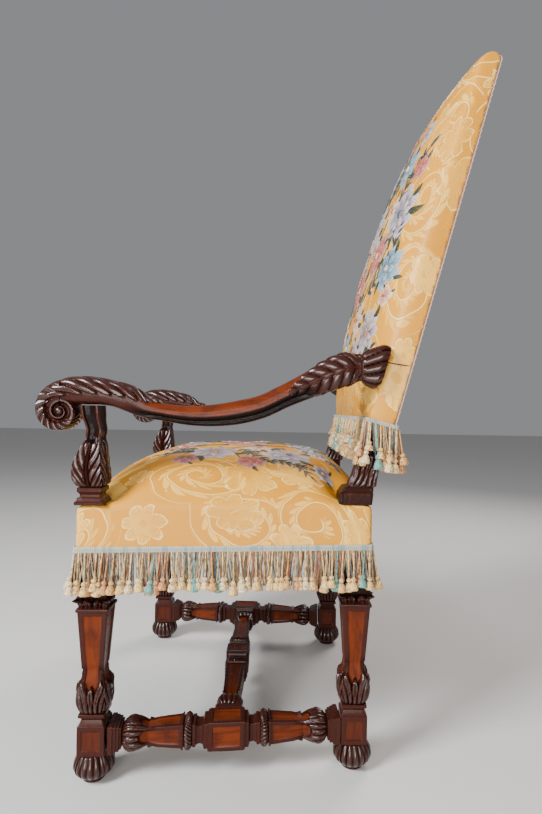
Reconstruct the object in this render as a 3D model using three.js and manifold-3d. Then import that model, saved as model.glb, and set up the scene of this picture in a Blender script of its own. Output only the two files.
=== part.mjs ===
// A carved walnut armchair with an upholstered seat and a high raked back, both with a tasselled fringe.
// Millimetres, +Z up. The chair faces -Y, and "left" is the sitter's left, on +X.
import * as THREE from 'three';
import { mergeVertices } from 'three/addons/utils/BufferGeometryUtils.js';
import Module from 'manifold-3d';

const wasm = await Module();
wasm.setup();

// Driving dimensions of the plan, between leg centres
const frontLegSpacing = 561;
const rearLegSpacing = 498;
const legDepthSpacing = 433.5;

// Heights of the stages of a leg, from the floor up
const footDiscHeight = 7;
const footHeight = 38;
const blockHeight = 49;
const chamferHeight = 12.5;
const ringHeight = 6.5;
const bulbHeight = 72;
const shaftHeight = 95;
const capitalHeight = 23;
const legNeckHeight = 71;

// Half widths of a leg
const footRadius = 32.5;
const blockHalf = 22.5;
const bulbHalf = 25.5;
const shaftFootHalf = 17.6;
const shaftHeadHalf = 24.2;
const capitalHalf = 28.5;
const tenonBlockHalf = 19;

// Seat frame and seat upholstery
const railHeight = 80;
const railThickness = 26;
const sideOverhang = 25;
const frontOverhang = 28;
const seatCrown = 97;

// Stretchers
const stretcherBlockHalf = 24;
const sideBlockLength = 62;
const crossBlockLength = 40;

// Arm supports and arms
const supportOut = 6.5;
const supportForward = 7;
const supportPlateHalf = 23.5;
const supportHeight = 152;
const supportBulbHalf = 26;
const voluteRadius = 47;
const voluteForward = 49;
const armHalfWidth = 21;
const armRearOut = 19;

// Rear posts above the seat, and the back
const backRake = THREE.MathUtils.degToRad(15.3);
const postBlockHeight = 29;
const postBlockHalfDepth = 25;
const stileHalfWidth = 18;
const stileHalfDepth = 12.5;
const backHalfWidth = 272;
const backLength = 686;
const backFootThickness = 48;
const backHeadThickness = 38;
const backCrown = 58;
const backClearHeight = 126;
const backRearOffset = 61.5;
const backRailHeight = 50;

// Fringes
const headingHeight = 10;
const seatFringeDrop = 80;
const backFringeDrop = 86;
const fringeThickness = 7;
const fringeFlare = 9;

// Gaps
const jointGap = 0.3;
const sewingGap = 0.6;

// Heights that follow
const blockBottom = footDiscHeight + footHeight;
const blockTop = blockBottom + blockHeight;
const ringBottom = blockTop + chamferHeight;
const bulbBottom = ringBottom + ringHeight;
const shaftBottom = bulbBottom + bulbHeight;
const shaftTop = shaftBottom + shaftHeight;
const capitalTop = shaftTop + capitalHeight;
const railBottom = capitalTop + legNeckHeight;
const railTop = railBottom + railHeight;
const stretcherHeight = blockBottom + blockHeight / 2;
const supportTop = railTop + jointGap + supportHeight;

// Places that follow
const frontLegY = -legDepthSpacing / 2;
const rearLegY = legDepthSpacing / 2;
const frontLegX = frontLegSpacing / 2;
const rearLegX = rearLegSpacing / 2;
const supportX = frontLegX + supportOut;
const supportY = frontLegY - supportForward;
const seatFrontY = frontLegY - frontOverhang;
const seatRearY = rearLegY + sideOverhang;
const legXAt = (y) => THREE.MathUtils.mapLinear(y, frontLegY, rearLegY, frontLegX, rearLegX);
const seatHalfAt = (y) => legXAt(y) + sideOverhang;
const taperAngle = Math.atan2(frontLegX - rearLegX, legDepthSpacing);

// The back's own frame: its foot, the direction up its rear face, and the direction out of its front face
const backFoot = new THREE.Vector3(0, rearLegY + backRearOffset, railTop + backClearHeight);
const backUp = new THREE.Vector3(0, Math.sin(backRake), Math.cos(backRake));
const backOut = new THREE.Vector3(0, -Math.cos(backRake), Math.sin(backRake));
const backThicknessAt = (along) =>
  THREE.MathUtils.lerp(backFootThickness, backHeadThickness, along / backLength);

const walnut = { color: 0x4a2a1c, roughness: 0.42, metalness: 0 };
const damask = { color: 0xd9b679, roughness: 0.62, metalness: 0 };
const silkFringe = { color: 0xd8cdb4, roughness: 0.8, metalness: 0 };

const chair = new THREE.Group();

function addPiece(name, geometry, look, place = [0, 0, 0], turn = 0) {
  const mesh = new THREE.Mesh(geometry, new THREE.MeshStandardMaterial(look));
  mesh.name = name;
  mesh.position.set(...place);
  mesh.rotation.z = turn;
  chair.add(mesh);
}

// Solids for joining and cutting
function solidOf(geometry) {
  const bare = geometry.clone();
  bare.deleteAttribute('normal');
  bare.deleteAttribute('uv');
  const merged = mergeVertices(bare);
  const vertProperties = new Float32Array(merged.attributes.position.array);
  const triVerts = new Uint32Array(merged.index.array);
  return new wasm.Manifold(new wasm.Mesh({ numProp: 3, vertProperties, triVerts }));
}

function geometryOf(solid) {
  const mesh = solid.getMesh();
  const geometry = new THREE.BufferGeometry();
  geometry.setAttribute('position', new THREE.BufferAttribute(mesh.vertProperties, mesh.numProp));
  geometry.setIndex(new THREE.BufferAttribute(mesh.triVerts, 1));
  return geometry;
}

function boxSolid(halfX, halfY, bottom, top, x, y) {
  const box = new THREE.BoxGeometry(2 * halfX, 2 * halfY, top - bottom);
  box.translate(x, y, (top + bottom) / 2);
  return solidOf(box);
}

// A closed body through a row of stations. Each station is an array of points, all of the same number,
// which run anticlockwise when seen against the direction of the row.
function loft(stations) {
  const count = stations[0].length;
  const points = stations.flat();
  const centreOf = (station) =>
    station.reduce((sum, point) => sum.add(point), new THREE.Vector3()).divideScalar(count);
  const first = points.push(centreOf(stations[0])) - 1;
  const last = points.push(centreOf(stations[stations.length - 1])) - 1;
  const faces = [];
  for (let i = 0; i < count; i++) {
    const j = (i + 1) % count;
    faces.push(first, j, i);
    const top = (stations.length - 1) * count;
    faces.push(last, top + i, top + j);
    for (let row = 0; row + 1 < stations.length; row++) {
      const low = row * count;
      const high = low + count;
      faces.push(low + i, low + j, high + j, low + i, high + j, high + i);
    }
  }
  const geometry = new THREE.BufferGeometry().setFromPoints(points);
  geometry.setIndex(faces);
  return geometry;
}

// Fractions of a square's half width at which each of its faces is sampled, corner first
const panelledFace = [-1, -0.72, -0.6, 0.6, 0.72];
const carvedFace = [-1, -0.62, 0, 0.62];
const panelEdge = 0.65;

// Points round a square section. "round" draws it towards a circle, "inset" sinks the panel of each face,
// "lobe" swells every second point, and "corner" pulls the four corners out.
function squareRing(face, { half, depth = half, round = 0, inset = 0, lobe = 0, corner = 0 }) {
  const ring = [];
  for (let side = 0; side < 4; side++) {
    const turn = (side * Math.PI) / 2;
    for (const [step, s] of face.entries()) {
      const sunk = Math.abs(s) < panelEdge ? inset / half : 0;
      const swell = 1 + (step % 2 ? lobe : -lobe) + (s === -1 ? corner : 0);
      const scale = swell * THREE.MathUtils.lerp(1, 1 / Math.hypot(1, s), round);
      const out = (1 - sunk) * scale;
      const along = s * scale;
      const x = out * Math.cos(turn) - along * Math.sin(turn);
      const y = out * Math.sin(turn) + along * Math.cos(turn);
      ring.push([x * half, y * depth]);
    }
  }
  return ring;
}

// A turned or carved upright: stages of { z, half, ... } one above another. "y" and "tilt" lean a stage back.
function uprightStations(face, stages) {
  return stages.map((stage) =>
    squareRing(face, stage).map(
      ([x, y]) =>
        new THREE.Vector3(
          x,
          y * Math.cos(stage.tilt ?? 0) + (stage.y ?? 0),
          stage.z - y * Math.sin(stage.tilt ?? 0),
        ),
    ),
  );
}

// Stages of a leg from the floor to the underside of the seat rails
function legStages() {
  const bevel = 1.5;
  const panelMargin = 8;
  const foot = (share, radius) => ({
    z: footDiscHeight + footHeight * share,
    half: radius,
    round: 1,
    lobe: 0.03,
  });
  const bulb = (share, half, look) => ({ z: bulbBottom + bulbHeight * share, half, ...look });
  const shaft = (z, inset) => ({
    z,
    half: THREE.MathUtils.mapLinear(z, shaftBottom, shaftTop, shaftFootHalf, shaftHeadHalf),
    inset,
  });
  return [
    { z: 0, half: footRadius * 0.6, round: 1 },
    { z: footDiscHeight, half: footRadius * 0.64, round: 1 },
    foot(0.14, footRadius * 0.9),
    foot(0.4, footRadius),
    foot(0.75, footRadius * 0.94),
    { z: blockBottom - bevel, half: footRadius * 0.7, round: 1 },
    { z: blockBottom, half: blockHalf },
    { z: blockBottom + panelMargin, half: blockHalf },
    { z: blockBottom + panelMargin + bevel, half: blockHalf, inset: 2 },
    { z: blockTop - panelMargin - bevel, half: blockHalf, inset: 2 },
    { z: blockTop - panelMargin, half: blockHalf },
    { z: blockTop, half: blockHalf },
    { z: ringBottom - chamferHeight * 0.28, half: blockHalf - 5 },
    { z: ringBottom, half: blockHalf - 5.5 },
    { z: ringBottom + 1, half: blockHalf - 1 },
    { z: bulbBottom - 1, half: blockHalf - 1 },
    { z: bulbBottom, half: shaftFootHalf - 0.5 },
    bulb(0.14, bulbHalf * 0.9, { round: 0.25, lobe: 0.03 }),
    bulb(0.33, bulbHalf, { round: 0.25, lobe: 0.04 }),
    bulb(0.62, bulbHalf * 0.84, { round: 0.1, lobe: 0.03 }),
    bulb(0.94, bulbHalf * 0.73, { corner: 0.06 }),
    shaft(shaftBottom, 0),
    shaft(shaftBottom + panelMargin, 1.5),
    shaft(shaftTop - panelMargin, 1.5),
    shaft(shaftTop - panelMargin + bevel, 0),
    shaft(shaftTop, 0),
    { z: shaftTop + 0.8, half: shaftHeadHalf + 2.3 },
    { z: shaftTop + capitalHeight * 0.24, half: shaftHeadHalf + 2.3 },
    { z: shaftTop + capitalHeight * 0.3, half: blockHalf - 1.5 },
    { z: shaftTop + capitalHeight * 0.5, half: blockHalf + 1 },
    { z: capitalTop - 4, half: capitalHalf, corner: 0.1 },
    { z: capitalTop - 0.8, half: capitalHalf - 1, corner: 0.06 },
    { z: capitalTop, half: blockHalf },
    { z: railBottom - jointGap, half: blockHalf },
    { z: railBottom - jointGap + 0.2, half: tenonBlockHalf },
  ];
}

function frontLeg() {
  return loft(uprightStations(panelledFace, [...legStages(), { z: railTop, half: tenonBlockHalf }]));
}

// The rear leg carries on above the seat as a block, a carved neck and a stile that rakes into the back
const rakeStart = railTop + 8;
const postBlockTop = railTop + postBlockHeight;
const stileTopAlong = backLength - 60;
const stileTop = backFoot.z + stileTopAlong * backUp.z;
const rakedY = (z) => Math.max(0, z - rakeStart) * Math.tan(backRake);

function rearPost(grow = 0) {
  const raked = (z, half, depth, look = {}) => ({
    z,
    y: rakedY(z),
    half: half + grow,
    depth: depth + grow,
    tilt: backRake,
    ...look,
  });
  const lower = legStages().map((stage) => ({ ...stage, half: stage.half + grow }));
  const neckTop = backFoot.z - 6;
  const block = { half: blockHalf + grow, depth: postBlockHalfDepth + grow };
  return loft(
    uprightStations(panelledFace, [
      ...lower,
      { z: railTop - 1, half: tenonBlockHalf + grow },
      { z: railTop - 0.8, ...block },
      { z: postBlockTop, ...block, y: rakedY(postBlockTop) / 2 },
      raked(postBlockTop + 9, blockHalf - 2, postBlockHalfDepth - 2),
      raked(postBlockTop + 14, blockHalf - 5, postBlockHalfDepth - 5, { lobe: 0.02 }),
      raked(postBlockTop + 34, blockHalf - 2, postBlockHalfDepth - 1, { lobe: 0.03 }),
      raked(neckTop - 12, stileHalfWidth, stileHalfDepth + 4, { lobe: 0.02 }),
      raked(neckTop, stileHalfWidth, stileHalfDepth),
      raked(stileTop, stileHalfWidth, stileHalfDepth),
    ]),
  );
}

// A stretcher of the given length along +X, the same from its middle to both ends: a centre block,
// a neck, a leafy collar, a tapered shaft, a leafy bulb and a stack of square plates
function stretcher(length, blockLength) {
  const end = length / 2 - jointGap;
  const half = blockLength / 2;
  const collar = half + 25;
  const bulb = end - 62;
  const oneSide = [
    { at: half, half: stretcherBlockHalf },
    { at: half + 1, half: stretcherBlockHalf - 3.5 },
    { at: half + 8, half: stretcherBlockHalf - 3.5 },
    { at: half + 11, half: 14.5 },
    { at: collar, half: 15.5 },
    { at: collar + 4, half: 22.5, round: 0.2, lobe: 0.03 },
    { at: collar + 16, half: 24, round: 0.1, lobe: 0.03 },
    { at: collar + 22, half: 20 },
    { at: bulb, half: 15.8 },
    { at: bulb + 12, half: 20, round: 0.3, lobe: 0.03 },
    { at: bulb + 24, half: 22.3, round: 0.3, lobe: 0.04 },
    { at: end - 22, half: 17.5, round: 0.3 },
    { at: end - 19, half: 16 },
    { at: end - 18, half: 20.5 },
    { at: end - 10, half: 20.5 },
    { at: end - 9, half: stretcherBlockHalf - 1 },
    { at: end, half: stretcherBlockHalf - 1 },
  ];
  const mirrored = oneSide.map((stage) => ({ ...stage, at: -stage.at })).reverse();
  const stations = [...mirrored, ...oneSide].map((stage) =>
    squareRing(carvedFace, stage).map(([y, z]) => new THREE.Vector3(stage.at, y, z)),
  );
  return loft(stations);
}

// Arm: a volute at the front, a leafy hump over the support, a hollowed middle that dips, a leafy rise,
// and a flared end against the back. Each row of the spine is its share of the run, its height over the
// volute's centre, its half thickness, and its half width for an arm of spineHalfWidth.
const spineHalfWidth = 21;
const armSpine = [
  [0.01, 29, 19, 20],
  [0.069, 32.5, 21, 23],
  [0.15, 28, 19, 23],
  [0.2, 20, 19.5, 21],
  [0.243, 8, 16, 19],
  [0.304, 1, 14, 18],
  [0.386, -4, 15.7, 18],
  [0.463, -3, 18, 18.5],
  [0.54, 3, 19.5, 19],
  [0.61, 13, 19, 19],
  [0.68, 31, 19, 19],
  [0.755, 50, 21.5, 20],
  [0.83, 70, 25.5, 22],
  [0.886, 79.5, 27, 22],
  [0.924, 81.5, 24, 18],
  [0.962, 82.5, 32, 21],
];
const voluteY = supportY - voluteForward;
const voluteZ = supportTop - 1;
const armEndRise = 84.5;
const armEndHalfHeight = 36;
const armEndHalfWidth = 23;
const armRearX = rearLegX + armRearOut;
const backFaceY = (z) => {
  const along = (z - backFoot.z) / backUp.z;
  return backFoot.y + (z - backFoot.z) * Math.tan(backRake) - backThicknessAt(along) / Math.cos(backRake);
};
const armEndZ = voluteZ + armEndRise;
const armEndY = backFaceY(armEndZ) - jointGap;
const armXAt = (y) => THREE.MathUtils.mapLinear(y, supportY, armEndY, supportX, armRearX);
const armRun = armEndY - voluteY;
const widthScale = armHalfWidth / spineHalfWidth;

function armStation(y, z, slope, halfHeight, halfWidth) {
  const look = { half: halfWidth, depth: halfHeight, round: 0.45 };
  const up = new THREE.Vector2(-Math.sin(slope), Math.cos(slope));
  return squareRing(carvedFace, look).map(
    ([a, b]) => new THREE.Vector3(armXAt(y) - a, y + b * up.x, z + b * up.y),
  );
}

// The flared end lies in the plane of the back's front face, and a tenon goes on from it to the stile. It
// starts a little inside the arm's last two rows, so that the two bodies join.
const tenonHalfHeight = 10;
const tenonHalfWidth = 9;

function armEnd(grow = 0) {
  const [neck, flare] = armSpine.slice(-2);
  const overlap = 3;
  const inset = 1;
  const row = ([share, rise, halfHeight, halfWidth], back, slope, less) =>
    armStation(
      voluteY + armRun * share - back,
      voluteZ + rise,
      slope,
      halfHeight - less + grow,
      (halfWidth - less) * widthScale + grow,
    );
  const stileFace = -(stileHalfDepth + jointGap) / Math.cos(backRake);
  const stileFaceY = rearLegY + rakedY(armEndZ) + stileFace;
  const tenon = [tenonHalfHeight + grow, tenonHalfWidth + grow];
  const end = [armEndHalfHeight + grow, armEndHalfWidth * widthScale + grow];
  const shoulder = grow + 0.05;
  return loft([
    row(neck, overlap, 0, inset),
    row(flare, 0, backRake / -2, 0),
    armStation(armEndY, armEndZ, -backRake, ...end),
    armStation(armEndY + shoulder, armEndZ, -backRake, ...tenon),
    armStation(stileFaceY, armEndZ, -backRake, ...tenon),
  ]);
}

function arm(grow = 0) {
  const spine = armSpine.map(([share, rise]) => [voluteY + armRun * share, voluteZ + rise]);
  const stations = armSpine.slice(0, -1).map(([, , halfHeight, halfWidth], i) => {
    const before = spine[Math.max(i - 1, 0)];
    const after = spine[i + 1];
    const slope = Math.atan2(after[1] - before[1], after[0] - before[0]);
    return armStation(...spine[i], slope, halfHeight + grow, halfWidth * widthScale + grow);
  });
  const quarterShrink = 0.8;
  const steps = 12;
  const spiral = [];
  for (let i = 0; i <= steps; i++) {
    const quarters = (3 * i) / steps;
    const radius = voluteRadius * quarterShrink ** quarters + grow;
    const angle = ((1 + quarters) * Math.PI) / 2;
    spiral.push([radius * Math.cos(angle), radius * Math.sin(angle)]);
  }
  const voluteX = armXAt(voluteY);
  const voluteHalf = 22 * widthScale + grow;
  const side = (x) => spiral.map(([y, z]) => new THREE.Vector3(x, voluteY + y, voluteZ + z));
  const volute = loft([side(voluteX - voluteHalf), side(voluteX + voluteHalf)]);
  return solidOf(loft(stations)).add(solidOf(volute)).add(solidOf(armEnd(grow)));
}

// Arm support: a plate on the seat's corner, a leafy bulb, and a shaft that curves forward under the arm
function armSupport() {
  const bottom = railTop + jointGap;
  const bulb = (share, half, y) => ({
    z: bottom + 22 + (supportHeight - 22) * share,
    half,
    y,
    round: 0.25,
    lobe: 0.03,
  });
  const stages = [
    { z: bottom, half: supportPlateHalf },
    { z: bottom + 11, half: supportPlateHalf },
    { z: bottom + 12, half: 18 },
    { z: bottom + 17, half: 16.5 },
    { z: bottom + 21, half: 20 },
    { z: bottom + 28, half: 20 },
    { z: bottom + 29, half: 17, y: -1 },
    bulb(0.16, supportBulbHalf * 0.93, -3),
    bulb(0.28, supportBulbHalf, -4),
    bulb(0.45, supportBulbHalf * 0.77, -2),
    bulb(0.62, supportBulbHalf * 0.58, 2),
    { z: bottom + supportHeight * 0.8, half: 12, y: 5, round: 0.1 },
    { z: bottom + supportHeight * 0.93, half: 13.5, y: 0 },
    { z: supportTop + 14, half: 14.5, y: -3 },
  ];
  return loft(uprightStations(carvedFace, stages));
}

// Seat upholstery: straight sides over the rails and a domed top
function seatPad() {
  const crownAt = (share) => (1 - Math.abs(share) ** 3.2) ** 0.7;
  const across = [-1, -0.97, -0.88, -0.7, -0.4, 0, 0.4, 0.7, 0.88, 0.97, 1];
  const rows = [-1, -0.96, -0.87, -0.72, -0.45, 0, 0.45, 0.7, 0.86, 0.96, 1];
  const rollBottom = railTop;
  const bottom = railBottom + jointGap;
  const middleY = (seatFrontY + seatRearY) / 2;
  const stations = rows.map((row) => {
    const y = middleY + (row * (seatRearY - seatFrontY)) / 2;
    const half = seatHalfAt(y);
    const top = across.map(
      (s) => new THREE.Vector3(half * s, y, rollBottom + seatCrown * crownAt(s) * crownAt(row)),
    );
    return [new THREE.Vector3(-half, y, bottom), ...top, new THREE.Vector3(half, y, bottom)];
  });
  return solidOf(loft(stations));
}

// Back upholstery: a slab with a rounded head and a domed front, lofted across its width
function backPad() {
  const crownAt = (share) => (1 - Math.abs(share) ** 2.6) ** 0.75;
  const columns = [-1, -0.985, -0.93, -0.8, -0.5, 0, 0.5, 0.8, 0.93, 0.985, 1];
  const rows = [0.03, 0.09, 0.22, 0.4, 0.6, 0.78, 0.88, 0.935, 0.97];
  const headRound = [
    [backLength - 12, backHeadThickness - 10],
    [backLength, 15],
    [backLength - 8, 4],
    [backLength - 25, 0],
  ];
  const place = (x, along, out) =>
    new THREE.Vector3(x, 0, 0).add(backFoot).addScaledVector(backUp, along).addScaledVector(backOut, out);
  const stations = columns.map((column) => {
    const x = column * backHalfWidth;
    const front = rows.map((row) => {
      const bulge = backCrown * crownAt(column) * crownAt(2 * row - 1);
      return [row * backLength, backThicknessAt(row * backLength) + bulge];
    });
    const outline = [[0, 0], [0, backFootThickness], ...front, ...headRound].reverse();
    return outline.map(([along, out]) => place(x, along, out));
  });
  return solidOf(loft(stations));
}

// A rail between two points of the plan, as a box of the seat frame
function seatRail(name, from, to) {
  const length = Math.hypot(to[0] - from[0], to[1] - from[1]);
  const turn = Math.atan2(to[1] - from[1], to[0] - from[0]);
  const middle = [(from[0] + to[0]) / 2, (from[1] + to[1]) / 2, (railBottom + railTop) / 2];
  const height = railHeight - 2 * railInset;
  addPiece(name, new THREE.BoxGeometry(length, railThickness, height), walnut, middle, turn);
  const hollow = new THREE.BoxGeometry(
    length,
    railThickness + 2 * sewingGap,
    height + 2 * (railInset + sewingGap),
  );
  hollow.rotateZ(turn);
  hollow.translate(middle[0], middle[1], middle[2] - railInset);
  return solidOf(hollow);
}

// A closed band round a rectangle that is "front" half wide at its front and "rear" at its rear. Each point
// of its profile is [offset from the cloth, height].
function fringeBand(frontHalf, rearHalf, frontY, rearY, profile, rearDrop = 0) {
  const corners = [
    [-frontHalf, frontY, -1, -1, 0],
    [frontHalf, frontY, 1, -1, 0],
    [rearHalf, rearY, 1, 1, rearDrop],
    [-rearHalf, rearY, -1, 1, rearDrop],
  ];
  const points = corners.flatMap(([x, y, outX, outY, drop]) =>
    profile.map(([out, z]) => new THREE.Vector3(x + out * outX, y + out * outY, z - drop)),
  );
  const count = profile.length;
  const faces = [];
  for (let c = 0; c < 4; c++) {
    for (let i = 0; i < count; i++) {
      const [a, b] = [c * count + i, c * count + ((i + 1) % count)];
      const [d, e] = [((c + 1) % 4) * count + i, ((c + 1) % 4) * count + ((i + 1) % count)];
      faces.push(a, d, e, a, e, b);
    }
  }
  const geometry = new THREE.BufferGeometry().setFromPoints(points);
  geometry.setIndex(faces);
  return geometry;
}

const fringeProfile = (top, bottom) => [
  [sewingGap, bottom],
  [sewingGap + fringeThickness + fringeFlare, bottom + 16],
  [sewingGap + fringeThickness, top - headingHeight],
  [sewingGap + 3, top],
  [sewingGap, top],
];

const sides = [
  ['left', 1],
  ['right', -1],
];

// Legs and posts
for (const [side, sign] of sides) {
  addPiece(`front_leg_${side}`, frontLeg(), walnut, [sign * frontLegX, frontLegY, 0]);
  addPiece(`rear_post_${side}`, rearPost(), walnut, [sign * rearLegX, rearLegY, 0]);
}

// Stretchers, the side ones turned to follow the taper of the plan
const sideStretcherLength = (legDepthSpacing - 2 * blockHalf) / Math.cos(taperAngle);
const sideStretcherX = legXAt(0);
for (const [side, sign] of sides) {
  const turn = Math.PI / 2 + sign * taperAngle;
  const place = [sign * sideStretcherX, 0, stretcherHeight];
  addPiece(`side_stretcher_${side}`, sideStretcher(), walnut, place, turn);
}

function sideStretcher() {
  const reach = blockHalf * Math.tan(taperAngle);
  return stretcher(sideStretcherLength - 2 * reach, sideBlockLength);
}

const crossLength = 2 * (sideStretcherX - stretcherBlockHalf / Math.cos(taperAngle));
const crossSlack = 2 * stretcherBlockHalf * Math.tan(taperAngle);
const crossStretcher = stretcher(crossLength - crossSlack, crossBlockLength);
addPiece('cross_stretcher', crossStretcher, walnut, [0, 0, stretcherHeight]);

// Arms and their supports
for (const [side, sign] of sides) {
  const armSolid = arm();
  const support = armSupport().translate(supportX, supportY, 0);
  const supportSolid = solidOf(support).subtract(arm(jointGap));
  addPiece(`arm_${side}`, mirrored(armSolid, sign), walnut);
  addPiece(`arm_support_${side}`, mirrored(supportSolid, sign), walnut);
}

function mirrored(solid, sign) {
  return geometryOf(sign > 0 ? solid : solid.mirror([1, 0, 0]));
}

// Seat rails, let into the underside of the seat's stuffing
const railInset = 2;
const railEnd = tenonBlockHalf + jointGap;
const hollows = [];
hollows.push(
  seatRail('seat_rail_front', [-frontLegX + railEnd, frontLegY], [frontLegX - railEnd, frontLegY]),
  seatRail('seat_rail_rear', [-rearLegX + railEnd, rearLegY], [rearLegX - railEnd, rearLegY]),
);
for (const [side, sign] of sides) {
  const slack = railEnd + (railThickness / 2) * Math.tan(taperAngle);
  const from = [sign * legXAt(frontLegY + slack), frontLegY + slack];
  const to = [sign * legXAt(rearLegY - slack), rearLegY - slack];
  hollows.push(seatRail(`seat_rail_${side}`, from, to));
}

// Seat upholstery, cut clear of the rails, the legs' heads, the arm supports and the posts
let seat = hollows.reduce((solid, hollow) => solid.subtract(hollow), seatPad());
const seatCeiling = railTop + seatCrown + 20;
const plateGap = 4;
const postGap = 2;
const plateSink = 0.2;
const postSink = 6;
for (const [, sign] of sides) {
  const headHalf = tenonBlockHalf + sewingGap;
  const underSeat = railBottom - 5;
  const plateHalf = supportPlateHalf + plateGap;
  const postHalves = [blockHalf + postGap, postBlockHalfDepth + postGap];
  seat = seat
    .subtract(boxSolid(headHalf, headHalf, underSeat, railTop + sewingGap, sign * frontLegX, frontLegY))
    .subtract(cornerRoom(plateHalf, plateHalf, railTop - plateSink, sign * supportX, supportY))
    .subtract(boxSolid(headHalf, headHalf, underSeat, railTop, sign * rearLegX, rearLegY))
    .subtract(cornerRoom(...postHalves, railTop - postSink, sign * rearLegX, rearLegY));
}
addPiece('seat_upholstery', geometryOf(seat), damask);

// Room for a plate or a post at a corner of the seat, open towards the outside and upwards
function cornerRoom(halfX, halfY, bottom, x, y) {
  const reach = 15;
  const [outX, outY] = [Math.sign(x) * reach, Math.sign(y) * reach];
  return boxSolid(halfX + reach, halfY + reach, bottom, seatCeiling, x + outX, y + outY);
}

// Back frame: two rails between the stiles, and the upholstery with a pocket for all of it
const lowerRailFoot = 14;
const backRails = [
  ['back_rail_lower', lowerRailFoot + backRailHeight / 2],
  ['back_rail_upper', stileTopAlong - backRailHeight / 2],
];
const stileOut = (along) => {
  const z = backFoot.z + along * backUp.z;
  const rear = backFoot.y + along * backUp.y;
  return (rear - rearLegY - rakedY(z)) * Math.cos(backRake);
};

function backRailGeometry(along, grow) {
  const halfWidth = rearLegX - stileHalfWidth - jointGap + grow;
  const halfThickness = stileHalfDepth - 1 + grow;
  const halfHeight = backRailHeight / 2 + grow;
  const box = new THREE.BoxGeometry(2 * halfWidth, 2 * halfThickness, 2 * halfHeight);
  box.rotateX(-backRake);
  const middle = backFoot
    .clone()
    .addScaledVector(backUp, along)
    .addScaledVector(backOut, stileOut(along));
  box.translate(middle.x, middle.y, middle.z);
  return box;
}

let back = backPad();
for (const [name, along] of backRails) {
  addPiece(name, backRailGeometry(along, 0), walnut);
  back = back.subtract(solidOf(backRailGeometry(along, sewingGap)));
}
const grownArm = solidOf(armEnd(1));
for (const [, sign] of sides) {
  const post = solidOf(rearPost(sewingGap)).translate([sign * rearLegX, rearLegY, sewingGap]);
  back = back.subtract(post).subtract(sign > 0 ? grownArm : grownArm.mirror([1, 0, 0]));
}
addPiece('back_upholstery', geometryOf(back), damask);

// Fringes
const seatFringeTop = railBottom + headingHeight;
const seatBand = fringeBand(
  seatHalfAt(seatFrontY),
  seatHalfAt(seatRearY),
  seatFrontY,
  seatRearY,
  fringeProfile(seatFringeTop, seatFringeTop - seatFringeDrop),
);
addPiece('seat_fringe', seatBand, silkFringe);

const backFrontEdge = backFoot.clone().addScaledVector(backOut, backFootThickness);
const backFringeTop = backFrontEdge.z + headingHeight;
let backBand = solidOf(
  fringeBand(
    backHalfWidth,
    backHalfWidth,
    backFrontEdge.y,
    backFoot.y,
    fringeProfile(backFringeTop, backFringeTop - backFringeDrop),
    backFootThickness * Math.sin(backRake),
  ),
);
backBand = backBand.subtract(backPad());
for (const [, sign] of sides) {
  backBand = backBand.subtract(
    solidOf(rearPost(sewingGap)).translate([sign * rearLegX, rearLegY, sewingGap]),
  );
}
addPiece('back_fringe', geometryOf(backBand), silkFringe);

// The origin is on the floor, under the middle of the chair's box
const box = new THREE.Box3().setFromObject(chair);
const centre = box.getCenter(new THREE.Vector3());
chair.position.set(-centre.x, -centre.y, -box.min.z);

const part = new THREE.Group();
part.add(chair);
part.updateMatrixWorld(true);

export default part;
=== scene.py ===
# A carved walnut armchair with a domed silk seat, a raked silk back and tasselled fringes.
# The chair faces -Y and its left arm, on +X, is the one nearest the camera.
import math

import bpy
import numpy as np
from mathutils import Matrix, Vector
from mathutils.bvhtree import BVHTree


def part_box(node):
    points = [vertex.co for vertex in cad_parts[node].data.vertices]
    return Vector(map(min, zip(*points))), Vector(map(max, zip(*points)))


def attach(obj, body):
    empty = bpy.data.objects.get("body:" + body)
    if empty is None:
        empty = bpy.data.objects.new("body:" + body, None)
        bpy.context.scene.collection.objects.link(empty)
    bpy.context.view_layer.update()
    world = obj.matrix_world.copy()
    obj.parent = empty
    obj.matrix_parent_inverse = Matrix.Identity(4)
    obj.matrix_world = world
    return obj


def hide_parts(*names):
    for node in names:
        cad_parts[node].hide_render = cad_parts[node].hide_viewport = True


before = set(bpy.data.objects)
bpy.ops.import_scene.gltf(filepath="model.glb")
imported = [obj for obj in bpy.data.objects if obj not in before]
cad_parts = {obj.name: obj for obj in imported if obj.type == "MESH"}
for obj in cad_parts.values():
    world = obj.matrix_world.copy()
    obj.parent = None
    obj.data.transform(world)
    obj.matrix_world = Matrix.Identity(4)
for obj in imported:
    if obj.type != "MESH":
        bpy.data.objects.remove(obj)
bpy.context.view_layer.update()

mm = 0.001
collection = bpy.context.scene.collection

# Camera: level with the arms, square to the chair's left side, held very slightly turned to one side.
camera_place = Vector((1.192, 0.0075, 0.6125))
camera_turn = math.radians(1.5)
camera_roll = math.radians(0.94)
frame_long_side = 814
focal_pixels = 543.7
optical_centre = (21.4, 3.4)

camera_data = bpy.data.cameras.new("camera")
camera_data.sensor_width = 36
camera_data.lens = focal_pixels * camera_data.sensor_width / frame_long_side
camera_data.shift_x = -optical_centre[0] / frame_long_side
camera_data.shift_y = optical_centre[1] / frame_long_side
camera = bpy.data.objects.new("camera", camera_data)
ahead = Vector((-math.cos(camera_turn), math.sin(camera_turn), 0))
upward = Vector((0, 0, 1))
axes = Matrix((ahead.cross(upward), upward, -ahead)).transposed()
turned_axes = axes @ Matrix.Rotation(camera_roll, 3, "Z")
camera.matrix_world = Matrix.Translation(camera_place) @ turned_axes.to_4x4()
collection.objects.link(camera)
bpy.context.scene.camera = camera

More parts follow.
